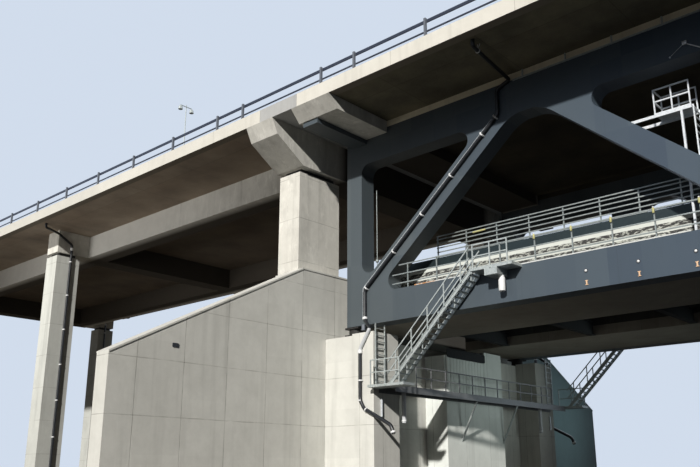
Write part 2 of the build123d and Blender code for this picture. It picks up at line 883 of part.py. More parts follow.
def railing_rail_section(inner_y, foot_z, rail_levels):
    """Cross-section of the rails of both sides, with their inner faces at inner_y."""
    for rail_level in rail_levels:
        with Locations((0, foot_z + rail_level)):
            with GridLocations(2 * inner_y + railing_rail_thickness, 0, 2, 1):
                Rectangle(railing_rail_thickness, railing_rail_depth)


def railing_length(post_count):
    """Length of a railing from the first post's outer face to the last's."""
    return (post_count - 1) * railing_pitch + railing_post_size


# Outer railings: one stretch to a bay, on the chord's top between the gussets
bay_centres = [end_node_x + bay_length * (bay + 1 / 2) for bay in range(bay_count)]
bay_post_count = pattern_count(bay_length - 2 * railing_gusset_margin, railing_pitch)
chord_railing_y = truss_half_width - railing_rail_thickness

with BuildPart() as chord_railing_posts:
    with BuildSketch(level(chord_top_z)):
        for bay_centre in bay_centres:
            railing_post_plan(bay_centre, chord_railing_y, bay_post_count)
    extrude(amount=chord_railing_height)
save(chord_railing_posts.part, "chord_railing_posts")

with BuildPart() as chord_railing_rails:
    for bay_centre in bay_centres:
        for rail_level, rail_reach in zip(chord_railing_levels, chord_railing_reaches):
            rail_length = railing_length(bay_post_count) + 2 * rail_reach
            with BuildSketch(across(bay_centre - rail_length / 2)):
                railing_rail_section(chord_railing_y, chord_top_z, [rail_level])
            extrude(amount=rail_length)
save(chord_railing_rails.part, "chord_railing_rails")

# Inner railings: one stretch to a side, on the duct walls
track_post_count = pattern_count(truss_length - 2 * railing_end_margin, railing_pitch)
track_railing_y = duct_wall_outer_y - railing_rail_thickness

with BuildPart() as track_railing_posts:
    with BuildSketch(level(duct_wall_top_z)):
        railing_post_plan(truss_centre_x, track_railing_y, track_post_count)
    extrude(amount=track_railing_height)
save(track_railing_posts.part, "track_railing_posts")

with BuildPart() as track_railing_rails:
    with BuildSketch(across(truss_centre_x - railing_length(track_post_count) / 2)):
        railing_rail_section(track_railing_y, duct_wall_top_z, track_railing_levels)
    extrude(amount=railing_length(track_post_count))
save(track_railing_rails.part, "track_railing_rails")

# Stairs: X places on them are counted from the truss's first node
stair_head_z = chord_top_z
stair_rise = stair_head_z - stair_foot_z
stair_run = stair_head_x - stair_foot_x
stair_angle = atan2(stair_rise, stair_run)
riser = stair_rise / riser_count
going = stair_run / riser_count
stair_inner_y = stair_outer_y - stair_width
stair_foot = (end_node_x + stair_foot_x, stair_foot_z)
stair_head = (end_node_x + stair_head_x, stair_head_z)


def sloping_band(lift, depth):
    """Parallelogram along the stair's slope: its top edge is lift above the line from foot to head."""
    Polygon(
        (stair_foot[0], stair_foot[1] + lift - depth),
        (stair_head[0], stair_head[1] + lift - depth),
        (stair_head[0], stair_head[1] + lift),
        (stair_foot[0], stair_foot[1] + lift),
        align=None,
    )


def stringer_band(lift, depth):
    """The same band, cut level where the stringers stand on the lower landing."""
    sloping_band(lift, depth)
    with Locations(stair_foot):
        Rectangle(stair_run, stair_rise, align=(Align.MIN, Align.MAX), mode=Mode.SUBTRACT)


# Stringers: channels whose webs hold the treads and whose flanges point away from them
stringer_drop = stringer_depth / cos(stair_angle)
flange_drop = stringer_flange_thickness / cos(stair_angle)
outer_web_y = stair_outer_y - stringer_flange_width
inner_web_y = stair_inner_y + stringer_flange_width - stringer_web
with BuildPart() as stair_stringers:
    for web_y in (outer_web_y, inner_web_y):
        with BuildSketch(near_side(web_y)):
            stringer_band(0, stringer_drop)
        extrude(amount=stringer_web)
    for flange_y in (outer_web_y, stair_inner_y):
        with BuildSketch(near_side(flange_y)):
            stringer_band(0, flange_drop)
        extrude(amount=stringer_flange_width)
        with BuildSketch(near_side(flange_y)):
            stringer_band(flange_drop - stringer_drop, flange_drop)
        extrude(amount=stringer_flange_width)
    mirror(about=Plane.XZ)
save(stair_stringers.part, "stair_stringers")

with BuildPart() as stair_treads:
    with BuildSketch(near_side(stair_inner_y + stringer_flange_width)):
        for step in range(1, riser_count):
            with Locations((stair_foot[0] + going * (step + 1 / 2), stair_foot_z + riser * step)):
                Rectangle(going - tread_thickness, tread_thickness, align=(Align.CENTER, Align.MAX))
    extrude(amount=stair_width - 2 * stringer_flange_width)
    mirror(about=Plane.XZ)
save(stair_treads.part, "stair_treads")

with BuildPart() as stair_handrails:
    for face_y in (stair_outer_y, stair_inner_y - handrail_thickness):
        with BuildSketch(near_side(face_y)):
            sloping_band(handrail_height, handrail_size / cos(stair_angle))
            sloping_band(handrail_height * mid_rail_share, handrail_size / cos(stair_angle))
            for post in range(handrail_post_count):
                share = (post + 1 / 2) / handrail_post_count
                post_length = handrail_height + stringer_depth / 2
                post_top_z = stair_foot_z + share * stair_rise + handrail_height
                with Locations((stair_foot[0] + share * stair_run, post_top_z - post_length / 2)):
                    Rectangle(handrail_size, post_length)
        extrude(amount=handrail_thickness)
    mirror(about=Plane.XZ)
save(stair_handrails.part, "stair_handrails")

# Landings at the feet and the heads of the stairs
lower_landing_outer_y = stair_outer_y + handrail_thickness
lower_landing_x = pedestal_face_x + lower_landing_length / 2
upper_landing_x = stair_head[0] + upper_landing_length / 2
with BuildPart() as lower_landings:
    with BuildSketch(near_side(stair_inner_y)):
        with Locations((lower_landing_x, stair_foot_z - landing_depth / 2)):
            Rectangle(lower_landing_length, landing_depth)
    extrude(amount=lower_landing_outer_y - stair_inner_y)
    mirror(about=Plane.XZ)
save(lower_landings.part, "lower_landings")

with BuildPart() as upper_landings:
    with BuildSketch(near_side(truss_half_width)):
        with Locations((upper_landing_x, stair_head_z)):
            Rectangle(upper_landing_length, landing_depth, align=(Align.CENTER, Align.MAX))
        with Locations((upper_landing_x, stair_head_z - landing_depth)):
            Rectangle(landing_bracket_length, landing_bracket_depth, align=(Align.CENTER, Align.MAX))
    extrude(amount=stair_outer_y - truss_half_width)
    mirror(about=Plane.XZ)
save(upper_landings.part, "upper_landings")


def landing_railing(middle_x, floor_z, rail_height):
    """Elevation of a landing's outer railing, whose posts are fixed to the landing's edge."""
    with Locations((middle_x, floor_z - landing_depth)):
        with GridLocations(landing_post_pitch, 0, 3, 1):
            Rectangle(handrail_size, rail_height + landing_depth, align=(Align.CENTER, Align.MIN))
    rail_length = 2 * landing_post_pitch + handrail_size
    for rail_share in (mid_rail_share, 1):
        with Locations((middle_x, floor_z + rail_height * rail_share)):
            Rectangle(rail_length, handrail_size, align=(Align.CENTER, Align.MAX))


with BuildPart() as landing_railings:
    with BuildSketch(near_side(lower_landing_outer_y)):
        landing_railing(lower_landing_x, stair_foot_z, lower_landing_rail_height)
    extrude(amount=handrail_thickness)
    with BuildSketch(near_side(stair_outer_y)):
        landing_railing(upper_landing_x, stair_head_z, upper_landing_rail_height)
    extrude(amount=handrail_thickness)
    mirror(about=Plane.XZ)
save(landing_railings.part, "landing_railings")


def ladder_elevation(middle_y, foot_z, height):
    """Two stiles and their rungs, on a plane across the bridge."""
    rung_count = floor(height / ladder_rung_pitch)
    with Locations((middle_y, foot_z + height / 2)):
        with GridLocations(ladder_width - ladder_stile_size, 0, 2, 1):
            Rectangle(ladder_stile_size, height)
        with GridLocations(0, ladder_rung_pitch, 1, rung_count):
            Rectangle(ladder_width - 2 * ladder_stile_size, ladder_rung_size)


# Ladders from the lower landings up the pedestals to the bearing shelf
with BuildPart() as shelf_ladders:
    shelf_ladder_height = shelf_z + ladder_rise - stair_foot_z
    with BuildSketch(across(pedestal_face_x + ladder_standoff)):
        ladder_elevation(ladder_width / 2 - ladder_outer_y, stair_foot_z, shelf_ladder_height)
    extrude(amount=ladder_stile_size)
    mirror(about=Plane.XZ)
save(shelf_ladders.part, "shelf_ladders")

# Walkway across the abutment's front, from one lower landing to the other
with BuildPart() as abutment_walkway:
    with BuildSketch(near_side(-stair_inner_y)):
        with Locations((pedestal_face_x + walkway_width / 2, stair_foot_z)):
            Rectangle(walkway_width, walkway_plate, align=(Align.CENTER, Align.MAX))
        with Locations((pedestal_face_x + walkway_width / 2, stair_foot_z)):
            with GridLocations(walkway_width - walkway_plate, 0, 2, 1):
                Rectangle(walkway_plate, walkway_depth, align=(Align.CENTER, Align.MAX))
    extrude(amount=2 * stair_inner_y)
save(abutment_walkway.part, "abutment_walkway")

with BuildPart() as walkway_struts:
    strut_top_z = stair_foot_z - walkway_depth
    for strut in range(strut_count):
        strut_y = strut_first_y + strut_pitch * strut
        with BuildSketch(near_side(-strut_y - strut_size / 2)):
            with BuildLine():
                Polyline(
                    (pedestal_face_x, strut_top_z - strut_drop),
                    (pedestal_face_x + walkway_width - strut_size, strut_top_z),
                    (pedestal_face_x + walkway_width, strut_top_z),
                    (pedestal_face_x, strut_top_z - strut_drop - 2 * strut_size),
                    close=True,
                )
            make_face()
        extrude(amount=strut_size)
save(walkway_struts.part, "walkway_struts")

with BuildPart() as walkway_railing:
    rail_plane_x = pedestal_face_x + walkway_width
    post_stretch = 2 * (stair_inner_y - walkway_post_pitch)
    walkway_post_count = pattern_count(post_stretch, walkway_post_pitch)
    walkway_rail_length = walkway_post_pitch * (walkway_post_count - 1)
    with BuildSketch(across(rail_plane_x)):
        with Locations((0, stair_foot_z)):
            with GridLocations(walkway_post_pitch, 0, walkway_post_count, 1):
                Rectangle(handrail_size, handrail_height, align=(Align.CENTER, Align.MIN))
            for rail_share in (mid_rail_share, 1):
                with Locations((0, handrail_height * rail_share)):
                    Rectangle(walkway_rail_length, handrail_size, align=(Align.CENTER, Align.MAX))
    extrude(amount=-handrail_thickness)
save(walkway_railing.part, "walkway_railing")


def place(reach, y, z):
    """Point of a near-side pipe: its X is counted from the truss's first node."""
    return (end_node_x + reach, -y, z)


# Downpipes: under the deck, down the truss's first diagonal and down the pedestal's side to a spout
truss_pipe_y = truss_half_width + pipe_radius
pedestal_pipe_y = pedestal_outer_y + pipe_radius
pipe_run_z = soffit_z - pipe_inlet_drop
pipe_line_z = chord_axis_z + pipe_lift
with BuildPart() as downpipes:
    with BuildLine() as pipe_run:
        Polyline(
            place(pipe_inlet_x, deck_half_width - pipe_inlet_inset, soffit_z),
            place(pipe_inlet_x, deck_half_width - pipe_inlet_inset, pipe_run_z),
            place(pipe_haunch_x, truss_pipe_y, pipe_run_z),
            place(pipe_drop_x, truss_pipe_y, pipe_run_z - pipe_haunch_drop),
            place(pipe_drop_x, truss_pipe_y, pipe_line_z + pipe_drop_x * tan(diagonal_angle)),
            place(pipe_fall_x, truss_pipe_y, pipe_line_z + pipe_fall_x * tan(diagonal_angle)),
            place(pipe_fall_x, truss_pipe_y, pipe_crook_top_z),
            place(pipe_bend_x, pedestal_pipe_y, pipe_crook_z),
            place(pipe_shaft_x, pedestal_pipe_y, pipe_shaft_top_z),
            place(pipe_shaft_x, pedestal_pipe_y, pipe_shaft_foot_z),
            place(pipe_elbow_x, pedestal_pipe_y, pipe_elbow_z),
            place(pipe_shoe_x, pedestal_pipe_y, pipe_shoe_z),
            place(pipe_spout_x, pedestal_pipe_y, pipe_spout_z),
        )
    with BuildSketch(Plane(pipe_run.line @ 0, z_dir=pipe_run.line % 0)):
        RegularPolygon(pipe_radius, pipe_side_count)
    sweep(path=pipe_run.line, transition=Transition.RIGHT)
    with BuildSketch(level(stair_foot_z - walkway_plate)):
        with Locations((end_node_x + outlet_x, -outlet_y)):
            RegularPolygon(outlet_radius, pipe_side_count)
    extrude(amount=-outlet_length)
    mirror(about=Plane.XZ)
save(downpipes.part, "downpipes")

# Pipes down the viaduct's piers, from an inlet near the deck's edge to each column's front
with BuildPart() as pier_downpipes:
    for pier_x in pier_xs:
        front_x = pier_x + pier_crosshead_length / 2 + pipe_radius
        inlet_y = deck_half_width - pier_pipe_inlet_inset
        slope_y = crosshead_half_width + pipe_radius
        with BuildLine() as pier_pipe_run:
            Polyline(
                (front_x + pier_pipe_inlet_reach, -inlet_y, soffit_z),
                (front_x + pier_pipe_inlet_reach, -inlet_y, pipe_run_z),
                (front_x, -slope_y, pipe_run_z),
                (front_x, -pier_pipe_y, pipe_run_z - pier_pipe_elbow_drop),
                (front_x, -pier_pipe_y, pier_pipe_foot_z),
            )
        with BuildSketch(Plane(pier_pipe_run.line @ 0, z_dir=pier_pipe_run.line % 0)):
            RegularPolygon(pipe_radius, pipe_side_count)
        sweep(path=pier_pipe_run.line, transition=Transition.RIGHT)
    mirror(about=Plane.XZ)
save(pier_downpipes.part, "pier_downpipes")

# Rail on the top chord's outer edge, hung from the deck's soffit
with BuildPart() as service_rails:
    service_rail_length = truss_length - 2 * service_rail_start
    hanger_count = pattern_count(service_rail_length - hanger_pitch / 2, hanger_pitch)
    with BuildSketch(near_side(truss_half_width)):
        with Locations((truss_centre_x, top_chord_top_z)):
            Rectangle(service_rail_length, service_rail_size, align=(Align.CENTER, Align.MAX))
            with GridLocations(hanger_pitch, 0, hanger_count, 1):
                Rectangle(hanger_width, haunch_height, align=(Align.CENTER, Align.MIN))
    extrude(amount=service_rail_size)
    mirror(about=Plane.XZ)
save(service_rails.part, "service_rails")

# Inspection platforms on two beams that are fixed to the truss's second diagonal
platform_x = end_node_x + platform_start
platform_end_x = platform_x + platform_length
platform_beams_x = platform_x - platform_beam_reach
platform_inner_y = member_inner_y - platform_width
with BuildPart() as inspection_platforms:
    with BuildSketch(near_side(platform_inner_y)):
        with Locations((platform_x, platform_z)):
            Rectangle(platform_length, platform_depth, align=(Align.MIN, Align.MAX))
    extrude(amount=platform_width)
    beam_length = platform_end_x - platform_beams_x
    for beam_y in (platform_inner_y, member_inner_y - platform_beam_width):
        with BuildSketch(near_side(beam_y)):
            with Locations((platform_beams_x, platform_z - platform_depth)):
                Rectangle(beam_length, platform_beam_depth, align=(Align.MIN, Align.MAX))
        extrude(amount=platform_beam_width)
    with BuildSketch(near_side(platform_inner_y)):
        with Locations((platform_beams_x, platform_z - platform_depth)):
            Rectangle(platform_beam_width, platform_beam_depth, align=(Align.MIN, Align.MAX))
    extrude(amount=platform_width)
    with BuildSketch(level(chord_top_z)):
        with Locations((end_node_x + platform_column_x, platform_column_size / 2 - member_inner_y)):
            Rectangle(platform_column_size, platform_column_size)
    extrude(amount=platform_z - platform_depth - chord_top_z)
    mirror(about=Plane.XZ)
save(inspection_platforms.part, "inspection_platforms")


def platform_railing(start, length):
    """Elevation of one side of the platform's railing: posts, a mid rail and a top rail."""
    with Locations((start + length / 2, platform_z)):
        with GridLocations((length - platform_post_size) / 2, 0, 3, 1):
            Rectangle(platform_post_size, platform_rail_height, align=(Align.CENTER, Align.MIN))
    for rail_share in (mid_rail_share, 1):
        with Locations((start + length / 2, platform_z + platform_rail_height * rail_share)):
            Rectangle(length, platform_post_size, align=(Align.CENTER, Align.MAX))


with BuildPart() as platform_railings:
    for face_y in (platform_inner_y, member_inner_y - platform_post_size):
        with BuildSketch(near_side(face_y)):
            platform_railing(platform_x, platform_length)
        extrude(amount=platform_post_size)
    with BuildSketch(across(platform_x)):
        for rail_share in (mid_rail_share, 1):
            with Locations((-platform_inner_y, platform_z + platform_rail_height * rail_share)):
                Rectangle(platform_width, platform_post_size, align=(Align.MAX, Align.MAX))
    extrude(amount=platform_post_size)
    mirror(about=Plane.XZ)
save(platform_railings.part, "platform_railings")

# Ladders from the service walkways up to the platforms' ends
with BuildPart() as platform_ladders:
    with BuildSketch(across(platform_end_x)):
        ladder_elevation(-platform_inner_y - ladder_width / 2, chord_top_z, platform_z - chord_top_z)
    extrude(amount=ladder_stile_size)
    mirror(about=Plane.XZ)
save(platform_ladders.part, "platform_ladders")

# Lamp posts: tapered poles, and an arm with a domed shade hung from each end
first_lamp_x = end_node_x + lamp_first_x
lamp_count = pattern_count(truss_east_x - lamp_foot_radius - first_lamp_x, lamp_pitch)
lamp_xs = [first_lamp_x + lamp_pitch * number for number in range(lamp_count)]
lamp_top_z = crown_z + lamp_height

lamp_taper = degrees(atan2(lamp_foot_radius - lamp_top_radius, lamp_height))
with BuildPart() as lamp_poles:
    with BuildSketch(level(crown_z)):
        for lamp_x in lamp_xs:
            with Locations((lamp_x, 0)):
                RegularPolygon(lamp_foot_radius, lamp_side_count)
    extrude(amount=lamp_height, taper=lamp_taper)
save(lamp_poles.part, "lamp_poles")

lamp_rim_z = lamp_top_z - lamp_dome_height - lamp_skirt_height
shades = [
    (lamp_rim_z, lamp_rim_radius, lamp_shoulder_radius, lamp_skirt_height),
    (lamp_rim_z + lamp_skirt_height, lamp_shoulder_radius, lamp_crown_radius, lamp_dome_height),
]
with BuildPart() as lamp_heads:
    with BuildSketch(level(lamp_top_z)):
        for lamp_x in lamp_xs:
            with Locations((lamp_x, 0)):
                Rectangle(lamp_arm_size, 2 * lamp_arm_reach + lamp_crown_radius)
    extrude(amount=lamp_arm_size)
    with BuildSketch(level(lamp_top_z + lamp_arm_size)):
        for lamp_x in lamp_xs:
            with Locations((lamp_x, 0)):
                RegularPolygon(lamp_top_radius, lamp_side_count)
    extrude(amount=lamp_stub_height)
    for foot_z, foot_radius, top_radius, height in shades:
        with BuildSketch(level(foot_z)):
            for lamp_x in lamp_xs:
                with Locations((lamp_x, 0)):
                    with GridLocations(0, 2 * lamp_arm_reach, 1, 2):
                        RegularPolygon(foot_radius, lamp_side_count)
        extrude(amount=height, taper=degrees(atan2(foot_radius - top_radius, height)))
save(lamp_heads.part, "lamp_heads")
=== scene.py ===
from math import pi, radians

import bmesh
import bpy
import numpy as np
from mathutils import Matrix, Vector


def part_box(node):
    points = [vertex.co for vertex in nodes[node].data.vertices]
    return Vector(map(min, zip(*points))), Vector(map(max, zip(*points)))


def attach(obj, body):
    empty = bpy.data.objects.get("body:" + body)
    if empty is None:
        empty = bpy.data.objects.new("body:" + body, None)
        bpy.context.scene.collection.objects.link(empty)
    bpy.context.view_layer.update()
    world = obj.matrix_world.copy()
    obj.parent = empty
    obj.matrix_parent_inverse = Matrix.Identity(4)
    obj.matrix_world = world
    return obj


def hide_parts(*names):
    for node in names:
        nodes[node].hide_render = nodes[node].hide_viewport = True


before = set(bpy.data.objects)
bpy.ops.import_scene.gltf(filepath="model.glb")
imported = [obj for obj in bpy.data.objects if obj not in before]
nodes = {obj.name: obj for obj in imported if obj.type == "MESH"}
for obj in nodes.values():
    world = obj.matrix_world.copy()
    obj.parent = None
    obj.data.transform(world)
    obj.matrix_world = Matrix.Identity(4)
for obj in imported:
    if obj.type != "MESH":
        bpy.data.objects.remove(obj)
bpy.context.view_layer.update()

# Picture frame in pixels, and where the camera's axis meets it
picture_width = 700
picture_height = 467
axis_column = 346.05
axis_row = 252.1
focal_pixels = 782.9
sensor_width = 36.0

# Levels, faces and spacings that the fittings and the finishes are set out from. The formwork repeats at the module,
# girders and edge beams are cast in segments, and the soot and painted shade between the girders lie within girder_y.
node_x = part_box("end_crossbeams")[0].x + 0.010
chord_bottom, chord_top = (corner.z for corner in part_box("bottom_chords"))
chord_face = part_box("bottom_chords")[0].y
trough_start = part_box("duct_walls")[0].x
duct_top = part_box("duct_walls")[1].z
deck_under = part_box("viaduct_girders")[1].z
wing_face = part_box("back_wall")[1].x
block_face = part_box("ribbed_block")[1].x
axis_z = chord_bottom + 0.072
module = 0.22
segment = 0.606
girder_y = 0.72
up = (0, 0, 1)
outward = (0, -1, 0)


class Tone:
    """A value in a finish's tree. Each sum, product, difference or quotient of it adds Math nodes."""

    def __init__(self, finish, socket):
        self.finish = finish
        self.socket = socket

    def math(self, operation, *others, clamp=False):
        """A Math node on this value and the others."""
        return self.finish.node("ShaderNodeMath", {"operation": operation, "use_clamp": clamp}, [self, *others])

    def __add__(self, other):
        return self.math("ADD", other)

    def __mul__(self, other):
        return self.math("MULTIPLY", other)

    def __sub__(self, other):
        return self.math("SUBTRACT", other)

    def __rsub__(self, other):
        return self.math("MULTIPLY", -1) + other

    def __truediv__(self, other):
        return self.math("DIVIDE", other)

    def __abs__(self):
        return self.math("ABSOLUTE")

    def part(self):
        """What is left of it after its whole part."""
        return self.math("FRACT")

    def step(self):
        """Its whole part."""
        return self.math("FLOOR")

    def held(self):
        """Itself between 0 and 1."""
        return self.math("ADD", 0, clamp=True)

    def over(self, limit, softness):
        """0 below the limit, rising to 1 over a soft edge."""
        return ((self - limit) / softness).held()


class Finish:
    """A material whose colour, roughness and relief are worked out from the place on the bridge."""

    def __init__(self, name, metallic=0.0, specular=0.5):
        self.material = bpy.data.materials.new(name)
        self.material.use_nodes = True
        self.tree = self.material.node_tree
        self.tree.nodes.clear()
        self.shader = self.tree.nodes.new("ShaderNodeBsdfPrincipled")
        self.shader.inputs["Metallic"].default_value = metallic
        self.shader.inputs["Specular IOR Level"].default_value = specular
        output = self.tree.nodes.new("ShaderNodeOutputMaterial")
        self.tree.links.new(self.shader.outputs[0], output.inputs["Surface"])
        self.place = self.node("ShaderNodeTexCoord", output="Object")
        self.x, self.y, self.z = self.split(self.place)
        normal = self.node("ShaderNodeNewGeometry", output="True Normal")
        self.face_x, self.face_y, self.face_z = self.split(normal)
        self.upright = 1 - abs(self.face_z)
        self.along = self.x * abs(self.face_y) + self.y * abs(self.face_x)

    def node(self, kind, settings=None, inputs=None, output=0):
        """Add a node: its settings first, then the values or links of its sockets."""
        made = self.tree.nodes.new(kind)
        for name, value in (settings or {}).items():
            setattr(made, name, value)
        pairs = inputs.items() if isinstance(inputs, dict) else enumerate(inputs or [])
        for key, value in pairs:
            if isinstance(value, Tone):
                self.tree.links.new(value.socket, made.inputs[key])
            else:
                made.inputs[key].default_value = value
        return Tone(self, made.outputs[output])

    def split(self, vector):
        """The three parts of a vector."""
        made = self.node("ShaderNodeSeparateXYZ", inputs=[vector]).socket.node
        return [Tone(self, made.outputs[part]) for part in range(3)]

    def noise(self, size, detail=3.0, stretch=(1, 1, 1), rough=0.55):
        """Cloudy noise from 0 to 1 whose blots are about this many metres wide."""
        scale = tuple(part / size for part in stretch)
        place = self.node("ShaderNodeVectorMath", {"operation": "MULTIPLY"}, [self.place, scale])
        return self.node("ShaderNodeTexNoise", None,
                         {"Vector": place, "Scale": 1.0, "Detail": detail, "Roughness": rough})

    def chance(self, *values):
        """A random value from 0 to 1 for each set of whole numbers."""
        if len(values) == 1:
            return self.node("ShaderNodeTexWhiteNoise", {"noise_dimensions": "1D"}, {"W": values[0]})
        place = self.node("ShaderNodeCombineXYZ", None, list(values))
        return self.node("ShaderNodeTexWhiteNoise", {"noise_dimensions": "3D"}, {"Vector": place})

    def seam(self, where, spacing, width, start=0.0):
        """1 on thin lines at this spacing, fading out over their width."""
        phase = ((where - start) / spacing + 0.5).part()
        return (1 - abs(phase - 0.5) * (spacing / width)).held()

    def blend(self, share, low, high):
        """Mix two colours: the low one at a share of 0, the high one at 1."""
        return self.node("ShaderNodeMix", {"data_type": "RGBA"}, {0: share, 6: low, 7: high}, output=2)

    def finish(self, colour, roughness, relief=None, depth=0.001, strength=1.0):
        """Give the shader its colour, roughness and relief."""
        self.tree.links.new(colour.socket, self.shader.inputs["Base Color"])
        if isinstance(roughness, Tone):
            self.tree.links.new(roughness.socket, self.shader.inputs["Roughness"])
        else:
            self.shader.inputs["Roughness"].default_value = roughness
        if relief is not None:
            bump = self.node("ShaderNodeBump", None, {"Height": relief, "Distance": depth, "Strength": strength})
            self.tree.links.new(bump.socket, self.shader.inputs["Normal"])
        return self.material


def rgb(red, green, blue):
    """A colour with its alpha."""
    return (red, green, blue, 1.0)


def scaled(colour, factor):
    """The colour, this many times as bright."""
    return rgb(*(part * factor for part in colour))


# Finishes
def concrete(name, light, dark, panel=0.0, panel_start=0.0, gap=0.0022, pour=0.0, pour_start=0.0, board=0.0,
             streaks=0.35, bloom=0.0, left=None, far=None, inward_shade=None, soot_and_shade_inside=None, front=None, under=None):
    """Cast concrete: cloudy tone, rain streaks on upright faces, seams of the formwork, and a fine grain.

    panel, pour and board are the spacings of upright seams, level seams and board marks, gap is the width of an
    upright seam, and bloom is the share of crusts and grime. The last six are colours of painted shade for a part of
    the surface: toward the viaduct's end, on the far wing wall (bluish), on faces turned to the bridge's middle,
    between the girders (soot as well as shade), on faces turned to the truss, and on undersides."""
    made = Finish(name, specular=0.3)
    cloud = made.noise(0.16, 4.0)
    fine = made.noise(0.018, 5.0, rough=0.7)
    streak = made.noise(0.05, 3.0, stretch=(1.0, 1.0, 0.07)).over(0.52, 0.25) * made.upright
    blots = made.noise(0.06, 5.0, rough=0.65)
    share = ((cloud + blots) * 0.85 + fine * 0.3 - 0.5).held()
    colour = made.blend(share, rgb(*dark), rgb(*light))
    colour = made.blend(streak * streaks, colour, scaled(dark, 0.62))
    if bloom:
        crust = made.noise(0.045, 5.0, stretch=(1.0, 1.0, 0.35), rough=0.75).over(0.54, 0.12)
        colour = made.blend(crust * bloom, colour, scaled(light, 1.2))
        grime = made.noise(0.11, 5.0, stretch=(1.0, 1.0, 0.5), rough=0.7).over(0.50, 0.2)
        colour = made.blend(grime * bloom, colour, scaled(dark, 0.6))
    marks = 0.0
    if board:
        tint = made.chance((made.along / board).step()) - 0.5
        colour = made.blend(abs(tint) * made.upright * 0.3, colour, scaled(light, 1.12))
        marks = made.seam(made.along, board, 0.0012) * made.upright * 0.15
    if panel:
        lot = ((made.along - panel_start) / panel).step()
        tint = made.chance(lot, (made.z / module).step(), 0.0)
        colour = made.blend((tint - 0.5).held() * made.upright * 0.4, colour, scaled(dark, 0.84))
        marks = made.seam(made.along, panel, gap, panel_start) * made.upright * 0.75 + marks
    if pour:
        wander = (made.noise(0.3, 2.0) - 0.5) * 0.006
        marks = made.seam(made.z + wander, pour, 0.0025, pour_start) * made.upright * 0.6 + marks
    relief = fine
    if isinstance(marks, Tone):
        colour = made.blend(marks.held() * made.noise(0.09).over(0.3, 0.3), colour, rgb(0.16, 0.15, 0.135))
        relief = fine - marks * 1.5
    # Painted shade: a darker colour toward the viaduct's end
    if left:
        colour = made.blend(made.x.over(-2.4, 2.0), made.blend(share, scaled(left, 0.8), rgb(*left)), colour)
    # Painted shade: a bluish shade colour on the far wing wall's faces turned along the bridge
    if far:
        far_wing_shade = made.y.over(0.85, 0.2) * made.face_x.over(0.5, 0.1)
        colour = made.blend(far_wing_shade, colour, made.blend(share, scaled(far, 0.8), rgb(*far)))
    # Painted shade on faces turned to the bridge's middle
    if inward_shade:
        colour = made.blend((made.y * made.face_y * -1).over(0.05, 0.2), colour, rgb(*inward_shade))
    # Soot and painted shade between the girders
    if soot_and_shade_inside:
        colour = made.blend((abs(made.y) * -1).over(-girder_y, 0.06), colour, rgb(*soot_and_shade_inside))
    # Painted shade: near black on faces turned to the truss
    if front:
        colour = made.blend(made.face_x.over(0.5, 0.1), colour, rgb(*front))
    # Painted shade on undersides
    if under:
        colour = made.blend((made.face_z * -1).over(0.5, 0.1), colour, rgb(*under))
    return made.finish(colour, made.noise(0.03) * 0.15 + 0.78, relief, 0.0008, 0.5)


def steel_paint(name, light, dark, far_light, far_dark):
    """Satin paint on big plates: tone that changes from plate to plate and grows bluer along the truss, faint dirt
    and a slight orange peel."""
    made = Finish(name, specular=0.4)
    plate_length, plate_height, joint_pitch = 0.13, 0.3, 0.406
    plate = made.chance(((made.x - node_x) / plate_length).step(),
                        ((made.z - chord_bottom) / plate_height).step(), 0.0)
    cloud = made.noise(0.25, 3.0)
    colour = made.blend((plate * 0.7 + cloud * 0.6 - 0.15).held(), rgb(*dark), rgb(*light))
    bluer = made.blend((plate * 0.8 + cloud * 0.3 - 0.05).held(), rgb(*far_dark), rgb(*far_light))
    colour = made.blend(made.x.over(-0.2, 1.4), colour, bluer)
    seam = made.seam(made.x, joint_pitch, 0.0016, node_x + 0.12) * abs(made.face_y)
    colour = made.blend(seam * 0.35, colour, scaled(dark, 0.5))
    dirt = made.noise(0.035, 4.0, stretch=(1.0, 1.0, 0.12)).over(0.6, 0.3) * made.upright
    colour = made.blend(dirt * 0.3, colour, scaled(dark, 0.55))
    return made.finish(colour, made.noise(0.05) * 0.16 + 0.38, made.noise(0.006, 2.0), 0.0004, 0.25)


def galvanised(name, light, dark, metallic=0.45):
    """Hot-dip zinc: a patchwork of pale spangles, dulled."""
    made = Finish(name, metallic=metallic)
    spangles_per_metre = 220.0
    spangle = made.node("ShaderNodeTexVoronoi", None, {"Vector": made.place, "Scale": spangles_per_metre},
                        output="Color")
    grey = made.split(spangle)[0]
    cloud = made.noise(0.05, 3.0)
    colour = made.blend((grey * 0.6 + cloud * 0.5 - 0.05).held(), rgb(*dark), rgb(*light))
    return made.finish(colour, grey * 0.18 + 0.42, grey, 0.0003, 0.2)


def plain_paint(name, light, dark, roughness=0.35, size=0.03):
    """Smooth paint or plastic with a slight change of tone and fine scuffs."""
    made = Finish(name, specular=0.45)
    cloud = made.noise(size, 4.0)
    scuff = made.noise(size * 0.12, 3.0).over(0.66, 0.1)
    colour = made.blend(cloud, rgb(*dark), rgb(*light))
    colour = made.blend(scuff * 0.25, colour, rgb(*(min(1.0, part * 1.8 + 0.02) for part in light)))
    return made.finish(colour, cloud * 0.2 + roughness, made.noise(size * 0.2, 2.0), 0.0003, 0.3)


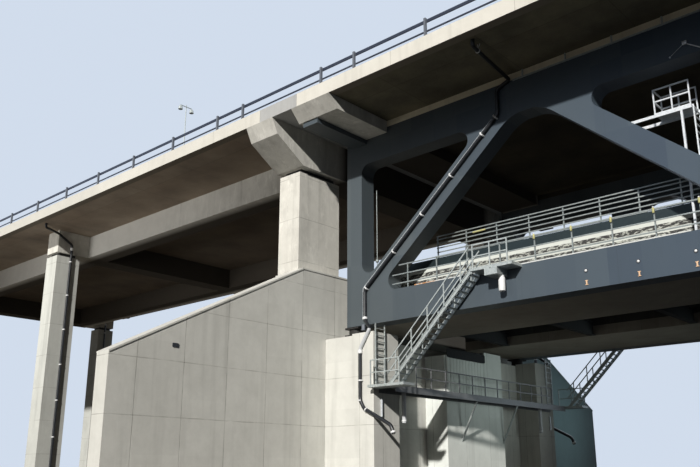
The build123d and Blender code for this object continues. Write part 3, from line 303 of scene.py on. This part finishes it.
def road_surface(name, light, dark, stain):
    """Slab with asphalt between the kerbs: what looks up is black and gritty, the rest is stained cast concrete that
    is darker between the girders from soot and painted shade."""
    made = Finish(name, specular=0.3)
    slab_length, slab_width = 0.5, 0.345
    cloud = made.noise(0.22, 4.0)
    fine = made.noise(0.012, 4.0, rough=0.7)
    panel = made.seam(made.x, slab_length, 0.0025, node_x) + made.seam(abs(made.y), slab_width, 0.0025)
    tint = made.chance(((made.x - node_x) / slab_length).step(), (made.y / slab_width).step(), 0.0)
    under = made.blend((cloud * 2.0 + fine * 0.4 - 0.72).held(), rgb(*dark), rgb(*light))
    under = made.blend((tint * 0.22 + made.noise(0.6, 2.0).over(0.45, 0.4) * 0.35).held(), under, rgb(*stain))
    under = made.blend(panel.held() * 0.55, under, scaled(dark, 0.6))
    # Soot and painted shade between the girders
    under = made.blend((abs(made.y) * -1).over(-girder_y, 0.08) * 0.6, under, rgb(0.02, 0.017, 0.014))
    wheel = made.noise(0.08, 3.0, stretch=(0.05, 1.0, 1.0))
    top = made.blend((wheel * 0.5 + fine * 0.6 - 0.05).held(), rgb(0.045, 0.045, 0.047), rgb(0.12, 0.118, 0.115))
    upward = made.face_z.over(0.5, 0.1)
    relief = fine + made.noise(0.003, 2.0) * upward
    return made.finish(made.blend(upward, under, top), cloud * 0.1 + 0.8, relief, 0.0012, 0.5)


def rail_steel(name):
    """Rails: brown rust on the sides, bright where the wheels run."""
    made = Finish(name)
    rust = made.blend(made.noise(0.02, 4.0), rgb(0.10, 0.05, 0.03), rgb(0.22, 0.12, 0.07))
    rail_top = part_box("track_rails")[1].z
    worn = made.face_z.over(0.8, 0.1) * (made.z - rail_top).over(-0.002, 0.001)
    made.tree.links.new((worn * 0.95).socket, made.shader.inputs["Metallic"])
    colour = made.blend(worn, rust, rgb(0.55, 0.55, 0.56))
    return made.finish(colour, 0.75 - worn * 0.5, made.noise(0.004), 0.0003, 0.4)


def rough_duct(name):
    """Pale precast duct: a smooth cap and a smooth rib, a pitted groove under each, and a dark foot."""
    made = Finish(name, specular=0.3)
    drop = duct_top - made.z
    foot = drop.over(0.064, 0.003)
    pit = made.noise(0.009, 3.0, stretch=(0.45, 1.0, 1.3), rough=0.7)
    upper, lower = (drop.over(start, 0.001) * (1 - drop.over(end, 0.001))
                    for start, end in ((0.016, 0.036), (0.051, 0.064)))
    groove = upper + lower
    colour = made.blend(made.noise(0.05, 4.0), rgb(0.58, 0.61, 0.58), rgb(0.70, 0.73, 0.69))
    rough = made.blend(pit.over(0.42, 0.08), rgb(0.46, 0.48, 0.44), rgb(0.05, 0.05, 0.05))
    colour = made.blend(groove, colour, rough)
    colour = made.blend(foot, colour, rgb(0.13, 0.115, 0.10))
    return made.finish(colour, 0.85, pit * groove - foot, 0.002, 0.8)


def pipe_plastic(name):
    """Rain pipes: black plastic, a pale length above the shaft on the pedestal, and grey outlets under the walkway."""
    made = Finish(name, specular=0.45)
    cloud = made.noise(0.03, 3.0)
    black = made.blend(cloud, rgb(0.007, 0.008, 0.010), rgb(0.020, 0.022, 0.026))
    grey = made.blend(cloud, rgb(0.44, 0.46, 0.48), rgb(0.60, 0.62, 0.64))
    crook_foot, crook_top, outlet_top, outlet_y = 0.699, 0.795, 0.524, 0.7
    beside = made.x.over(-0.5, 0.01) * (1 - made.x.over(0.0, 0.01))
    crook = made.z.over(crook_foot, 0.002) * (1 - made.z.over(crook_top, 0.004))
    outlet = (1 - made.z.over(outlet_top, 0.002)) * (1 - abs(made.y).over(outlet_y, 0.01))
    colour = made.blend((crook * beside + outlet * beside).held(), black, grey)
    return made.finish(colour, cloud * 0.15 + 0.28, cloud, 0.0002, 0.2)


def rusting_trim(name):
    """A pale painted edge that has gone orange with rust at the first posts."""
    made = Finish(name, specular=0.4)
    rust = (1 - made.x.over(0.06, 0.06)) * made.noise(0.02, 4.0).over(0.3, 0.2)
    colour = made.blend(made.noise(0.04, 3.0), rgb(0.60, 0.63, 0.64), rgb(0.80, 0.82, 0.82))
    return made.finish(made.blend(rust, colour, rgb(0.55, 0.26, 0.10)), rust * 0.3 + 0.45, rust, 0.0003, 0.3)


column_forms = {"pour": module, "pour_start": axis_z + 0.474, "board": 0.060, "streaks": 0.5}
# The far colour is a bluish painted shade on the far wing wall
pale_concrete = concrete("pale_concrete", (0.72, 0.72, 0.68), (0.54, 0.54, 0.505), panel=module, panel_start=-0.977,
                         pour=module, pour_start=axis_z - 0.096, far=(0.49, 0.58, 0.61))
column_concrete = concrete("column_concrete", (0.74, 0.73, 0.68), (0.54, 0.53, 0.485), bloom=0.4, **column_forms)
pier_concrete = concrete("pier_concrete", (0.57, 0.585, 0.555), (0.45, 0.46, 0.435), bloom=0.2, **column_forms)
crosshead_concrete = concrete("crosshead_concrete", (0.68, 0.67, 0.63), (0.48, 0.475, 0.435), board=0.060,
                              streaks=0.5, bloom=0.6, soot_and_shade_inside=(0.060, 0.054, 0.045))
# Girders: the pale tone is painted light for their shaded faces; the end and the middle get painted shade
girder_concrete = concrete("girder_concrete", (0.88, 0.88, 0.83), (0.56, 0.55, 0.51), panel=segment,
                           panel_start=node_x - 0.920, gap=0.012, streaks=0.6, bloom=0.5,
                           left=(0.60, 0.595, 0.565), soot_and_shade_inside=(0.060, 0.052, 0.042))
# Haunches: a pale tone painted as light on their outer faces, and painted shade on faces turned to the middle
haunch_painted_light_and_shade = concrete("haunch_painted_light_and_shade", (0.90, 0.84, 0.66), (0.66, 0.60, 0.46), inward_shade=(0.05, 0.045, 0.035))
# Edge beams: painted shade toward the viaduct's end and on their undersides
edge_concrete = concrete("edge_concrete", (0.76, 0.745, 0.69), (0.62, 0.605, 0.55), panel=segment,
                         panel_start=node_x, left=(0.53, 0.52, 0.48), under=(0.20, 0.175, 0.14))
joint_concrete = concrete("joint_concrete", (0.47, 0.48, 0.48), (0.38, 0.385, 0.385))
block_concrete = concrete("block_concrete", (0.80, 0.83, 0.80), (0.62, 0.65, 0.62), panel=module, panel_start=-0.32)
# Back wall: painted shade, near black, on its faces turned to the truss
back_concrete = concrete("back_concrete", (0.70, 0.70, 0.66), (0.52, 0.52, 0.48), panel=module,
                         front=(0.06, 0.058, 0.052))
# Trough inner walls painted near black as shade
trough_painted_shade = concrete("trough_painted_shade", (0.10, 0.10, 0.095), (0.05, 0.05, 0.045), panel=module)
trough_concrete = concrete("trough_concrete", (0.40, 0.37, 0.31), (0.24, 0.215, 0.18), panel=0.5, panel_start=node_x)
deck_finish = road_surface("deck_finish", (0.42, 0.355, 0.28), (0.21, 0.18, 0.15), (0.27, 0.19, 0.13))
# A darker copy of the deck's colours under the truss: painted shade
truss_deck_painted_shade = road_surface("truss_deck_painted_shade", (0.23, 0.205, 0.14), (0.065, 0.064, 0.050),
                                 (0.08, 0.065, 0.042))
truss_finish = steel_paint("truss_finish", (0.087, 0.104, 0.114), (0.060, 0.076, 0.088),
                           (0.070, 0.096, 0.122), (0.040, 0.060, 0.090))
zinc_finish = galvanised("zinc_finish", (0.56, 0.60, 0.59), (0.36, 0.40, 0.40))
railing_finish = galvanised("railing_finish", (0.36, 0.40, 0.39), (0.21, 0.235, 0.24))
board_finish = galvanised("board_finish", (0.024, 0.038, 0.042), (0.014, 0.025, 0.029))
# Darker zinc for the walkway and its railing: painted shade
walkway_painted_shade = galvanised("walkway_painted_shade", (0.24, 0.25, 0.255), (0.14, 0.145, 0.15))
bright_finish = galvanised("bright_finish", (0.78, 0.81, 0.84), (0.56, 0.60, 0.64), 0.3)
post_finish = plain_paint("post_finish", (0.17, 0.19, 0.22), (0.09, 0.10, 0.13))
parapet_finish = plain_paint("parapet_finish", (0.024, 0.032, 0.058), (0.010, 0.014, 0.028))
rail_finish = rail_steel("rail_finish")
pad_finish = plain_paint("pad_finish", (0.030, 0.028, 0.026), (0.012, 0.012, 0.012), 0.6)
pipe_finish = pipe_plastic("pipe_finish")
white_finish = plain_paint("white_finish", (0.84, 0.85, 0.86), (0.66, 0.68, 0.70), 0.3, 0.02)
yellow_finish = plain_paint("yellow_finish", (0.66, 0.62, 0.28), (0.38, 0.37, 0.17), 0.35, 0.01)
orange_finish = plain_paint("orange_finish", (0.86, 0.62, 0.42), (0.70, 0.42, 0.24), 0.4, 0.01)
plate_finish = plain_paint("plate_finish", (0.040, 0.045, 0.055), (0.022, 0.025, 0.032), 0.35)
trim_finish = rusting_trim("trim_finish")
coal_finish = plain_paint("coal_finish", (0.018, 0.020, 0.024), (0.008, 0.009, 0.011), 0.7, 0.1)
duct_finish = rough_duct("duct_finish")

finish_of = {
    pale_concrete: ("wing_walls", "column_plinths", "wing_wall_copings", "abutment_body", "bearing_pedestals",
                    "river_pier"),
    block_concrete: ("ribbed_block",),
    back_concrete: ("back_wall",),
    trough_painted_shade: ("trough_inner_walls",),
    haunch_painted_light_and_shade: ("deck_haunches",),
    column_concrete: ("transition_columns",),
    crosshead_concrete: ("transition_crosshead", "pier_crossheads", "end_crossbeams"),
    pier_concrete: ("pier_columns",),
    girder_concrete: ("viaduct_girders",),
    edge_concrete: ("edge_beams",),
    joint_concrete: ("joint_edge_covers", "joint_slab"),
    trough_concrete: ("trough_floors", "walkway_ledges", "track_slabs"),
    deck_finish: ("viaduct_deck",),
    truss_deck_painted_shade: ("truss_deck",),
    truss_finish: ("bottom_chords", "top_chords", "end_posts", "diagonals", "node_gussets", "end_brackets"),
    coal_finish: ("lower_cross_beams",),
    railing_finish: ("chord_railing_posts", "chord_railing_rails", "track_railing_posts", "track_railing_rails"),
    walkway_painted_shade: ("abutment_walkway", "walkway_railing"),
    zinc_finish: ("lamp_heads", "lamp_poles", "lower_landings", "upper_landings", "landing_railings",
                  "stair_handrails", "stair_stringers", "stair_treads", "walkway_struts", "shelf_ladders",
                  "service_rails"),
    bright_finish: ("inspection_platforms", "platform_railings", "platform_ladders"),
    post_finish: ("parapet_posts",),
    pipe_finish: ("downpipes", "pier_downpipes"),
    parapet_finish: ("parapet_rails",),
    rail_finish: ("track_rails",),
    pad_finish: ("column_bearings", "truss_bearings"),
    duct_finish: ("duct_walls",),
}
for finish, names in finish_of.items():
    for name in names:
        for slot in nodes[name].material_slots:
            slot.material = finish


# Shapes: each is a pair of arrays, places of three numbers and faces of four corners
def unit(vectors):
    """Vectors made one long."""
    vectors = np.asarray(vectors, float)
    return vectors / np.linalg.norm(vectors, axis=-1, keepdims=True)


def tube_faces(rows, columns):
    """Faces between neighbouring rings of a tube: row by row, and round each row back to its start."""
    row, column = np.meshgrid(np.arange(rows - 1) * columns, np.arange(columns), indexing="ij")
    after = (column + 1) % columns
    return np.stack([row + column, row + after, row + columns + after, row + columns + column], -1).reshape(-1, 4)


def bar(line, half_width, half_depth, toward=(1, 0, 0), sides=12, squareness=1.0):
    """A bar along a line, closed at both ends. Place = line + half_width c(t) across + half_depth d(t) over, where
    c and d are the cosine and sine of t to the power of the squareness, and over leans toward the given way."""
    line = np.asarray(line, float)
    runs = unit(np.diff(line, axis=0))
    heading = unit(np.vstack([runs[:1], runs[:-1] + runs[1:], runs[-1:]]))
    across = unit(np.cross(heading, toward))
    over = np.cross(across, heading)
    turn = np.linspace(0, 2 * pi, sides, endpoint=False) + pi / sides
    wave = np.stack([np.cos(turn), np.sin(turn)])
    wave = np.sign(wave) * np.abs(wave) ** squareness
    rings = (line[:, None] + half_width * wave[0][:, None] * across[:, None]
             + half_depth * wave[1][:, None] * over[:, None])
    ends = [np.repeat(line[end][None, None], sides, 1) for end in (0, -1)]
    rings = np.concatenate([ends[0], rings, ends[1]])
    return rings.reshape(-1, 3), tube_faces(len(rings), sides)


def turned(profile, foot, axis=up, sides=16):
    """A turned shape. Place = foot + reach axis + radius (cos t, sin t) across it, for each reach and radius."""
    reach, radius = np.asarray(profile, float).T
    axis = unit(axis)
    first = unit(np.cross(axis, (0.31, 0.52, 0.79)))
    turn = np.linspace(0, 2 * pi, sides, endpoint=False)
    wheel = np.cos(turn)[:, None] * first + np.sin(turn)[:, None] * np.cross(axis, first)
    rings = np.asarray(foot, float) + reach[:, None, None] * axis + radius[:, None, None] * wheel
    return rings.reshape(-1, 3), tube_faces(len(reach), sides)


def collar(foot, axis, radius, length):
    """A turned band with slanted rims, closed at both ends."""
    rim = min(length, radius) * 0.2
    return turned([(0, 0), (0, radius - rim), (rim, radius), (length - rim, radius), (length, radius - rim),
                   (length, 0)], foot, axis)


def bent(corners, reach, steps=6):
    """A line through the corners in which a parabola that touches both runs takes each corner's place:
    (1-s)^2 before + 2s(1-s) corner + s^2 after, where before and after are that reach from the corner."""
    corners = np.asarray(corners, float)
    share = np.linspace(0, 1, steps)[:, None]
    pieces = [corners[:1]]
    for before, corner, after in zip(corners, corners[1:], corners[2:]):
        near, far = np.linalg.norm(before - corner), np.linalg.norm(after - corner)
        start = corner + (before - corner) * min(reach / near, 0.45)
        end = corner + (after - corner) * min(reach / far, 0.45)
        pieces.append((1 - share) ** 2 * start + 2 * share * (1 - share) * corner + share ** 2 * end)
    return np.vstack([*pieces, corners[-1:]])


def mirrored(shapes):
    """The shapes and the same ones on the other side of the bridge, at -y."""
    return shapes + [(places * (1, -1, 1), faces) for places, faces in shapes]


def shown(name, data):
    """An object with this data, put in the scene."""
    made = bpy.data.objects.new(name, data)
    bpy.context.scene.collection.objects.link(made)
    return made


def piece(name, finish, shapes, replaced=None):
    """Join shapes into one piece that rides on the bridge, with its ends closed and its faces outwards."""
    starts = np.cumsum([0] + [len(places) for places, faces in shapes[:-1]])
    mesh = bpy.data.meshes.new(name)
    mesh.from_pydata(np.vstack([places for places, faces in shapes]).tolist(), [],
                     np.vstack([faces + start for (places, faces), start in zip(shapes, starts)]).tolist())
    work = bmesh.new()
    work.from_mesh(mesh)
    bmesh.ops.remove_doubles(work, verts=work.verts, dist=0.00001)
    bmesh.ops.dissolve_degenerate(work, edges=work.edges, dist=0.00001)
    bmesh.ops.recalc_face_normals(work, faces=work.faces)
    work.to_mesh(mesh)
    work.free()
    mesh.polygons.foreach_set("use_smooth", np.ones(len(mesh.polygons), bool))
    mesh.set_sharp_from_angle(angle=radians(40))
    mesh.materials.append(finish)
    made = shown(name, mesh)
    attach(made, "root")
    if replaced:
        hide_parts(replaced)


# Pieces. Reaches are counted along the bridge from the truss's first node.
def at(reach, y, z):
    """The place at this reach."""
    return (node_x + reach, y, z)


# Rain pipes of the truss: inlet, haunch, along the first diagonal, down the end post and the pedestal, to the foot
pipe_radius = 0.0085
pipe_bend = 0.016
chord_pipe_y = chord_face - pipe_radius
shaft_y = -0.8285
crossing_z = deck_under - 0.029
slope_foot, slope_top = (0.097, 0.9934), (0.870, 1.6582)
slope_run, slope_rise = slope_top[0] - slope_foot[0], slope_top[1] - slope_foot[1]
slope = unit((slope_run, 0.0, slope_rise))
beside = np.array([-slope[2], 0.0, slope[0]])


def on_slope(reach, y):
    """The place at this reach on the pipe's line along the diagonal."""
    return np.array(at(reach, y, slope_foot[1] + (reach - slope_foot[0]) * slope_rise / slope_run))


truss_pipe_corners = [at(0.977, -1.128, deck_under), at(0.977, -1.128, crossing_z), at(0.938, chord_pipe_y, crossing_z),
                      at(0.870, chord_pipe_y, 1.775), on_slope(slope_top[0], chord_pipe_y),
                      on_slope(slope_foot[0], chord_pipe_y), at(0.097, chord_pipe_y, 0.852), at(0.161, shaft_y, 0.797),
                      at(0.101, shaft_y, 0.709), at(0.101, shaft_y, 0.475), at(0.124, shaft_y, 0.436),
                      at(0.280, shaft_y, 0.357), at(0.295, shaft_y, 0.320)]
truss_pipe = bar(bent(truss_pipe_corners, pipe_bend), pipe_radius, pipe_radius)
outlet = bar([at(0.195, -0.628, 0.523), at(0.195, -0.628, 0.378)], 0.010, 0.010)
piece("rain_pipes", pipe_finish, mirrored([truss_pipe, outlet]), "downpipes")

# Rain pipes of the piers
pier_fronts = (-3.049, -5.534)
pier_pipe_y = -0.875
pier_inlet = (0.072, -1.119)
pier_pipes = [bar(bent([(front + pier_inlet[0], pier_inlet[1], deck_under),
                        (front + pier_inlet[0], pier_inlet[1], crossing_z), (front, -0.9855, crossing_z),
                        (front, pier_pipe_y, 1.735), (front, pier_pipe_y, 0.030)], pipe_bend), pipe_radius, pipe_radius)
              for front in pier_fronts]
piece("pier_rain_pipes", pipe_finish, mirrored(pier_pipes), "pier_downpipes")

# Straps that hold the pipe to the diagonal: over the pipe and down to a foot on each side
strap_line = np.array([(0.023, -0.7812), (0.0115, -0.7812), (0.0105, -0.7900), (0.0070, -0.7975), (0.0, -0.8000),
                       (-0.0070, -0.7975), (-0.0105, -0.7900), (-0.0110, -0.7812)])
straps = []
for reach in (0.108, 0.278, 0.447, 0.615, 0.787, 0.858):
    line = on_slope(reach, 0.0) + strap_line[:, :1] * beside + strap_line[:, 1:] * (0.0, 1.0, 0.0)
    straps.append(bar(line, 0.0014, 0.0034, slope, 8, 0.5))

# Collars round the pipes: foot, axis, radius and length
strap_pitch, strap_count = 0.245, 7
collars = [((front, pier_pipe_y, level), up, 0.0105, 0.007)
           for front in pier_fronts for level in 0.137 + strap_pitch * np.arange(strap_count)]
collars += [((front, pier_pipe_y, 1.694), up, 0.0115, 0.022) for front in pier_fronts]
hanger = np.array(at(0.972, -1.085, crossing_z))
collars += [(at(0.097, chord_pipe_y, 0.851), up, 0.0125, 0.014),
            (at(0.101, shaft_y, 0.686), up, 0.0110, 0.018),
            (at(0.101, shaft_y, 0.560), up, 0.0110, 0.006),
            (at(0.101, shaft_y, 0.470), up, 0.0105, 0.006),
            (at(0.134, shaft_y, 0.431), (0.156, 0, -0.079), 0.0105, 0.006),
            (at(0.2905, shaft_y, 0.331), (0.015, 0, -0.037), 0.0120, 0.009),
            (at(0.195, -0.628, 0.384), up, 0.0115, 0.008),
            (hanger + (0.0005, -0.003, 0), (-0.039, 0.3395, 0), 0.0105, 0.006)]
straps += [collar(*values) for values in collars]

# The tail of the shaft's strap, and the rods that hang the inlet from the deck
straps.append(bar([at(0.114, shaft_y, 0.563), at(0.088, shaft_y + 0.007, 0.563)], 0.003, 0.003, up, 8, 0.5))
rod_top = (0.0, 0.0, 0.028)
straps.append(bar([hanger + rod_top, hanger + (0.0, 0.0, 0.006)], 0.0022, 0.0022, (1, 0, 0), 8))
for side in (-1, 1):
    straps.append(bar([hanger + rod_top + (0.012 * side, 0.0, 0.0), hanger + (0.002 * side, 0.0, 0.010)],
                      0.0016, 0.0016, (0, 1, 0), 8))
piece("pipe_straps", white_finish, mirrored(straps))

# A thin conduit above the pipe, and a short post on the pedestal
conduit_y = -0.786
edge = 0.0125 * beside
conduit = [on_slope(0.845, conduit_y) + edge, np.array(at(0.092, conduit_y, 0.9960)) + edge,
           at(0.0835, conduit_y, 0.972), at(0.0835, conduit_y, 0.868)]
piece("conduits", bright_finish,
      mirrored([bar(bent(conduit, 0.010), 0.0014, 0.0014, sides=6),
                bar([at(0.180, -0.770, 0.400), at(0.180, -0.770, 0.480)], 0.0055, 0.0045, sides=8)]))

# The grey stub beside the pipe, below its white collar
piece("pipe_stubs", post_finish,
      mirrored([turned([(0, 0), (0, 0.0110), (0.003, 0.0110), (0.005, 0.0092), (0.026, 0.0092), (0.030, 0.0)],
                       at(0.095, -0.797, 0.800))]))

# Slim mast behind the end post, with its fitting
mast_x, mast_y = -0.330, -0.672
mast = turned([(0, 0), (0, 0.010), (0.004, 0.010), (0.006, 0.0026), (0.540, 0.0020), (0.561, 0.0018), (0.564, 0.0)],
              (mast_x, mast_y, chord_top), sides=10)
knob = turned([(0, 0), (0.001, 0.006), (0.005, 0.0085), (0.012, 0.0085), (0.016, 0.006), (0.017, 0)],
              (mast_x, mast_y, 1.156), sides=12)
piece("masts", railing_finish, mirrored([mast, knob]))

# Lamp under the upper landing
lamp = turned([(0, 0), (0, 0.009), (0.003, 0.0135), (0.012, 0.014), (0.056, 0.014), (0.060, 0.0115), (0.067, 0.0115),
               (0.067, 0)], (0.4537, -0.812, 0.866), sides=20)
piece("landing_lamps", white_finish, mirrored([lamp]))

# Lamps on the outer railing's posts, from the middle of the first bay on, and the tube on the inner railing
bay_length = 2.0
post_pitch = 0.1624
bay_posts = 9
bay_middles = [0.5925 + bay_length * bay for bay in range(3)]
post_lamps = []
post_caps = []
for bay, middle in enumerate(bay_middles):
    for number in range(0 if bay else bay_posts // 2, bay_posts):
        foot = np.array((middle + (number - bay_posts // 2) * post_pitch + 0.002, -0.782, 1.066))
        post_lamps.append(turned([(0, 0), (0.001, 0.0032), (0.004, 0.0046), (0.018, 0.0046), (0.021, 0.0034),
                                  (0.022, 0)], foot, sides=8))
        post_caps.append(turned([(0, 0), (0, 0.0034), (0.004, 0.0034), (0.006, 0)], foot + (0, 0, 0.0215), sides=8))
tube = turned([(0, 0), (0.001, 0.0030), (0.004, 0.0042), (0.066, 0.0042), (0.069, 0.0030), (0.070, 0)],
              (0.188, -0.6045, 1.2190), (1, 0, 0.02), sides=10)
piece("post_lamps", yellow_finish, mirrored([*post_lamps, tube]))
piece("post_lamp_glasses", white_finish, mirrored(post_caps))

# Pale edge on the chord's outer top corner, between the gussets
trim_half, trim_y, trim_z = 0.612, chord_face + 0.0010, chord_top + 0.0018
trims = [bar([(middle - trim_half, trim_y, trim_z), (middle + trim_half, trim_y, trim_z)], 0.0024, 0.0022, (0, 1, 0),
             8, 0.5) for middle in bay_middles]
piece("chord_edge_trims", trim_finish, mirrored(trims))

# Fittings on the chord's web: a round light on a dark disc, and an orange bracket of two flanges and a stem below it
light_pitch, light_count = 0.204, 23
light_z = 0.899
bracket_depth = 0.0016
bracket_y = chord_face - bracket_depth
discs = []
lights = []
brackets = []
for x in 0.804 + light_pitch * np.arange(light_count):
    discs.append(turned([(0, 0), (0, 0.0080), (0.0012, 0.0080), (0.0016, 0.0)], (x, chord_face, light_z), outward, 12))
    lights.append(turned([(0, 0), (0.0012, 0.0052), (0.0030, 0.0048), (0.0046, 0.0026), (0.0050, 0)],
                         (x, chord_face, light_z), outward, 10))
    for z, half_width, half_height in ((0.8600, 0.0055, 0.0016), (0.8535, 0.0024, 0.0080), (0.8440, 0.0055, 0.0016)):
        brackets.append(bar([(x - half_width, bracket_y, z), (x + half_width, bracket_y, z)],
                            bracket_depth, half_height, up, 8, 0.5))
piece("web_light_discs", plate_finish, mirrored(discs))
piece("web_lights", white_finish, mirrored(lights))
piece("web_brackets", orange_finish, mirrored(brackets))

# Fitting on the top chord with its arm and a thin rod to a knob
head = np.array((1.264, -0.786, 1.686))
rod_end = np.array((1.205, -0.783, 1.650))
piece("chord_fittings", bright_finish, mirrored([
    bar([head - (0.008, 0, 0), head + (0.008, 0, 0)], 0.005, 0.008, up, 12, 0.5),
    bar([head, rod_end], 0.0009, 0.0009, (0, 1, 0), 6),
    turned([(0, 0), (0, 0.0035), (0.004, 0.0035), (0.005, 0)], rod_end + (0, 0.003, 0), outward, 8),
    bar([head + (0.004, 0, -0.004), head + (0.055, 0, -0.040)], 0.0022, 0.0022, (0, 1, 0), 8)]))

# Clips of the service rails
clip_y, clip_pitch, clip_count = -0.7845, 0.2, 21
clips = [bar([(x, clip_y, 1.8120), (x, clip_y, 1.7935)], 0.0022, 0.0014, (0, 1, 0), 8, 0.5)
         for x in 0.590 + clip_pitch * np.arange(clip_count)]
piece("rail_clips", white_finish, mirrored(clips))

# Small blank plate on the wing wall
plate_y, plate_z = -1.685, 0.6495
piece("blank_plate", plate_finish,
      [bar([(wing_face, plate_y, plate_z), (wing_face + 0.0025, plate_y, plate_z)], 0.015, 0.0085, up, 16, 0.3)])

# Gratings that close the middle between the two troughs, and boards between the duct walls and the lowest rail
length, count = 0.6722, 9
starts = trough_start + length * np.arange(count)
grating_z = 0.993
board_y, board_z = -0.600, duct_top + 0.0205
gratings = [bar([(x, 0.0, grating_z), (x + length, 0.0, grating_z)], 0.2205, 0.0035, up, 16, 0.2) for x in starts]
boards = [bar([(x, board_y, board_z), (x + length, board_y, board_z)], 0.0015, 0.0210, up, 8, 0.2) for x in starts]
piece("middle_gratings", coal_finish, gratings)
piece("toe_boards", board_finish, mirrored(boards))


# Grooved panel of the middle block, and a black sheet above it: painted shade
def grooved_panel(left, right, bottom, top, ribs, depth, steps=12):
    """A panel of upright ribs, flat against the block. Its front stands out by 1 mm plus depth times the root of
    |sin t|, and t goes through half a turn over each rib."""
    across = np.linspace(left, right, ribs * steps + 1)
    out = block_face + 0.001 + depth * np.abs(np.sin((across - left) / (right - left) * ribs * pi)) ** 0.5
    back = np.full_like(across, block_face)
    low, high = np.full_like(across, bottom), np.full_like(across, top)
    rings = np.stack([np.stack([back, across, low], -1), np.stack([out, across, low], -1),
                      np.stack([out, across, high], -1), np.stack([back, across, high], -1)], 1)
    ends = [np.repeat(rings[end].mean(0)[None, None], 4, 1) for end in (0, -1)]
    rings = np.concatenate([ends[0], rings, ends[1]])
    return rings.reshape(-1, 3), tube_faces(len(rings), 4)


piece("grooved_panel", block_concrete,
      [grooved_panel(left=-0.255, right=0.102, bottom=0.536, top=0.721, ribs=13, depth=0.006)])
# A black sheet on the block above the panel: painted shade
shade_sheet_y, shade_sheet_z = -0.074, 0.7482
piece("block_shade_sheet", coal_finish,
      [bar([(block_face, shade_sheet_y, shade_sheet_z), (block_face + 0.002, shade_sheet_y, shade_sheet_z)], 0.176, 0.0236, up, 16, 0.2)])


# Camera, where the photograph was taken
camera_data = bpy.data.cameras.new("camera")
camera_data.sensor_width = sensor_width
camera_data.lens = focal_pixels / picture_width * sensor_width
camera_data.shift_x = (picture_width / 2 - axis_column) / picture_width
camera_data.shift_y = (axis_row - picture_height / 2) / picture_width
camera_data.clip_end = 200.0
camera = shown("camera", camera_data)
camera.location = (2.0946, -3.5195, 0.1557)
pitch, roll, yaw = 15.756, -0.115, 42.75
camera.rotation_euler = (radians(90 + pitch), radians(roll), radians(yaw))
bpy.context.scene.camera = camera


def add_light(name, kind, energy, colour, toward, place=(0, 0, 0), **settings):
    """A light that shines this way from its place. The camera doesn't see it."""
    data = bpy.data.lights.new(name, kind)
    data.energy = energy
    data.color = colour
    for key, value in settings.items():
        setattr(data, key, value)
    made = shown(name, data)
    made.location = place
    made.rotation_euler = Vector(toward).to_track_quat("-Z", "Y").to_euler()
    made.visible_camera = False


# A low soft sun behind the camera's left shoulder
add_light("sun", "SUN", 4.6, (1.0, 0.965, 0.91), (-0.42, 1.0, -0.516), angle=radians(1.5))

# Soft light from low down: on the girders, on the middle of the abutment, and on the far wing wall
add_light("girder_glow", "AREA", 8.0, (1.0, 0.97, 0.92), (0.2, 3.6, 0.75), (-2.9, -4.4, 0.95),
          shape="RECTANGLE", size=2.8, size_y=1.0, spread=radians(52))
add_light("abutment_glow", "AREA", 0.55, (0.86, 1.0, 0.97), (-1.63, -0.30, 0.12), (1.4, 0.45, 0.50),
          shape="RECTANGLE", size=0.8, size_y=0.4, spread=radians(44))
add_light("wing_glow", "AREA", 0.19, (0.62, 0.95, 0.96), (-1.09, -0.30, 0.0), (0.55, 1.75, 0.50),
          size=0.5, spread=radians(60))

# A wide weak sun for the side that the first one leaves dark
add_light("far_side_fill", "SUN", 0.9, (0.92, 0.96, 1.0), (0.30, -1.0, -0.85), angle=radians(50.0))

# Sky: pale where it is seen, straight or in a gloss, and weak as a light
world = bpy.data.worlds.new("sky")
bpy.context.scene.world = world
world.use_nodes = True
sky_nodes, sky_links = world.node_tree.nodes, world.node_tree.links
sky_nodes.clear()
rays = sky_nodes.new("ShaderNodeLightPath")
seen = rays.outputs["Is Camera Ray"]
for kind in ("Is Glossy Ray", "Is Transmission Ray"):
    either = sky_nodes.new("ShaderNodeMath")
    either.operation = "MAXIMUM"
    sky_links.new(seen, either.inputs[0])
    sky_links.new(rays.outputs[kind], either.inputs[1])
    seen = either.outputs[0]
mix_sky = sky_nodes.new("ShaderNodeMixShader")
sky_links.new(seen, mix_sky.inputs[0])
for number, (colour, strength) in enumerate(((rgb(0.80, 0.88, 1.0), 0.030), (rgb(0.64, 0.72, 0.84), 1.0))):
    sky = sky_nodes.new("ShaderNodeBackground")
    sky.inputs["Color"].default_value = colour
    sky.inputs["Strength"].default_value = strength
    sky_links.new(sky.outputs[0], mix_sky.inputs[number + 1])
sky_out = sky_nodes.new("ShaderNodeOutputWorld")
sky_links.new(mix_sky.outputs[0], sky_out.inputs["Surface"])
bpy.context.scene.view_settings.view_transform = "Standard"

# Floor: pale to the eye, and a quieter tone for the light that it throws back
floor_half = 60.0
floor_mesh = bpy.data.meshes.new("floor")
floor_mesh.from_pydata([(-floor_half, -floor_half, 0), (floor_half, -floor_half, 0), (floor_half, floor_half, 0),
                        (-floor_half, floor_half, 0)], [], [(0, 1, 2, 3)])
floor = shown("floor", floor_mesh)
floor_finish = Finish("floor_finish", specular=0.1)
path = floor_finish.node("ShaderNodeLightPath", output="Is Camera Ray")
bounce = floor_finish.blend(floor_finish.x.over(-0.6, 1.2), rgb(0.10, 0.085, 0.065), rgb(0.012, 0.014, 0.018))
floor_colour = floor_finish.blend(path, bounce, rgb(0.74, 0.74, 0.73))
floor_mesh.materials.append(floor_finish.finish(floor_colour, 0.9))
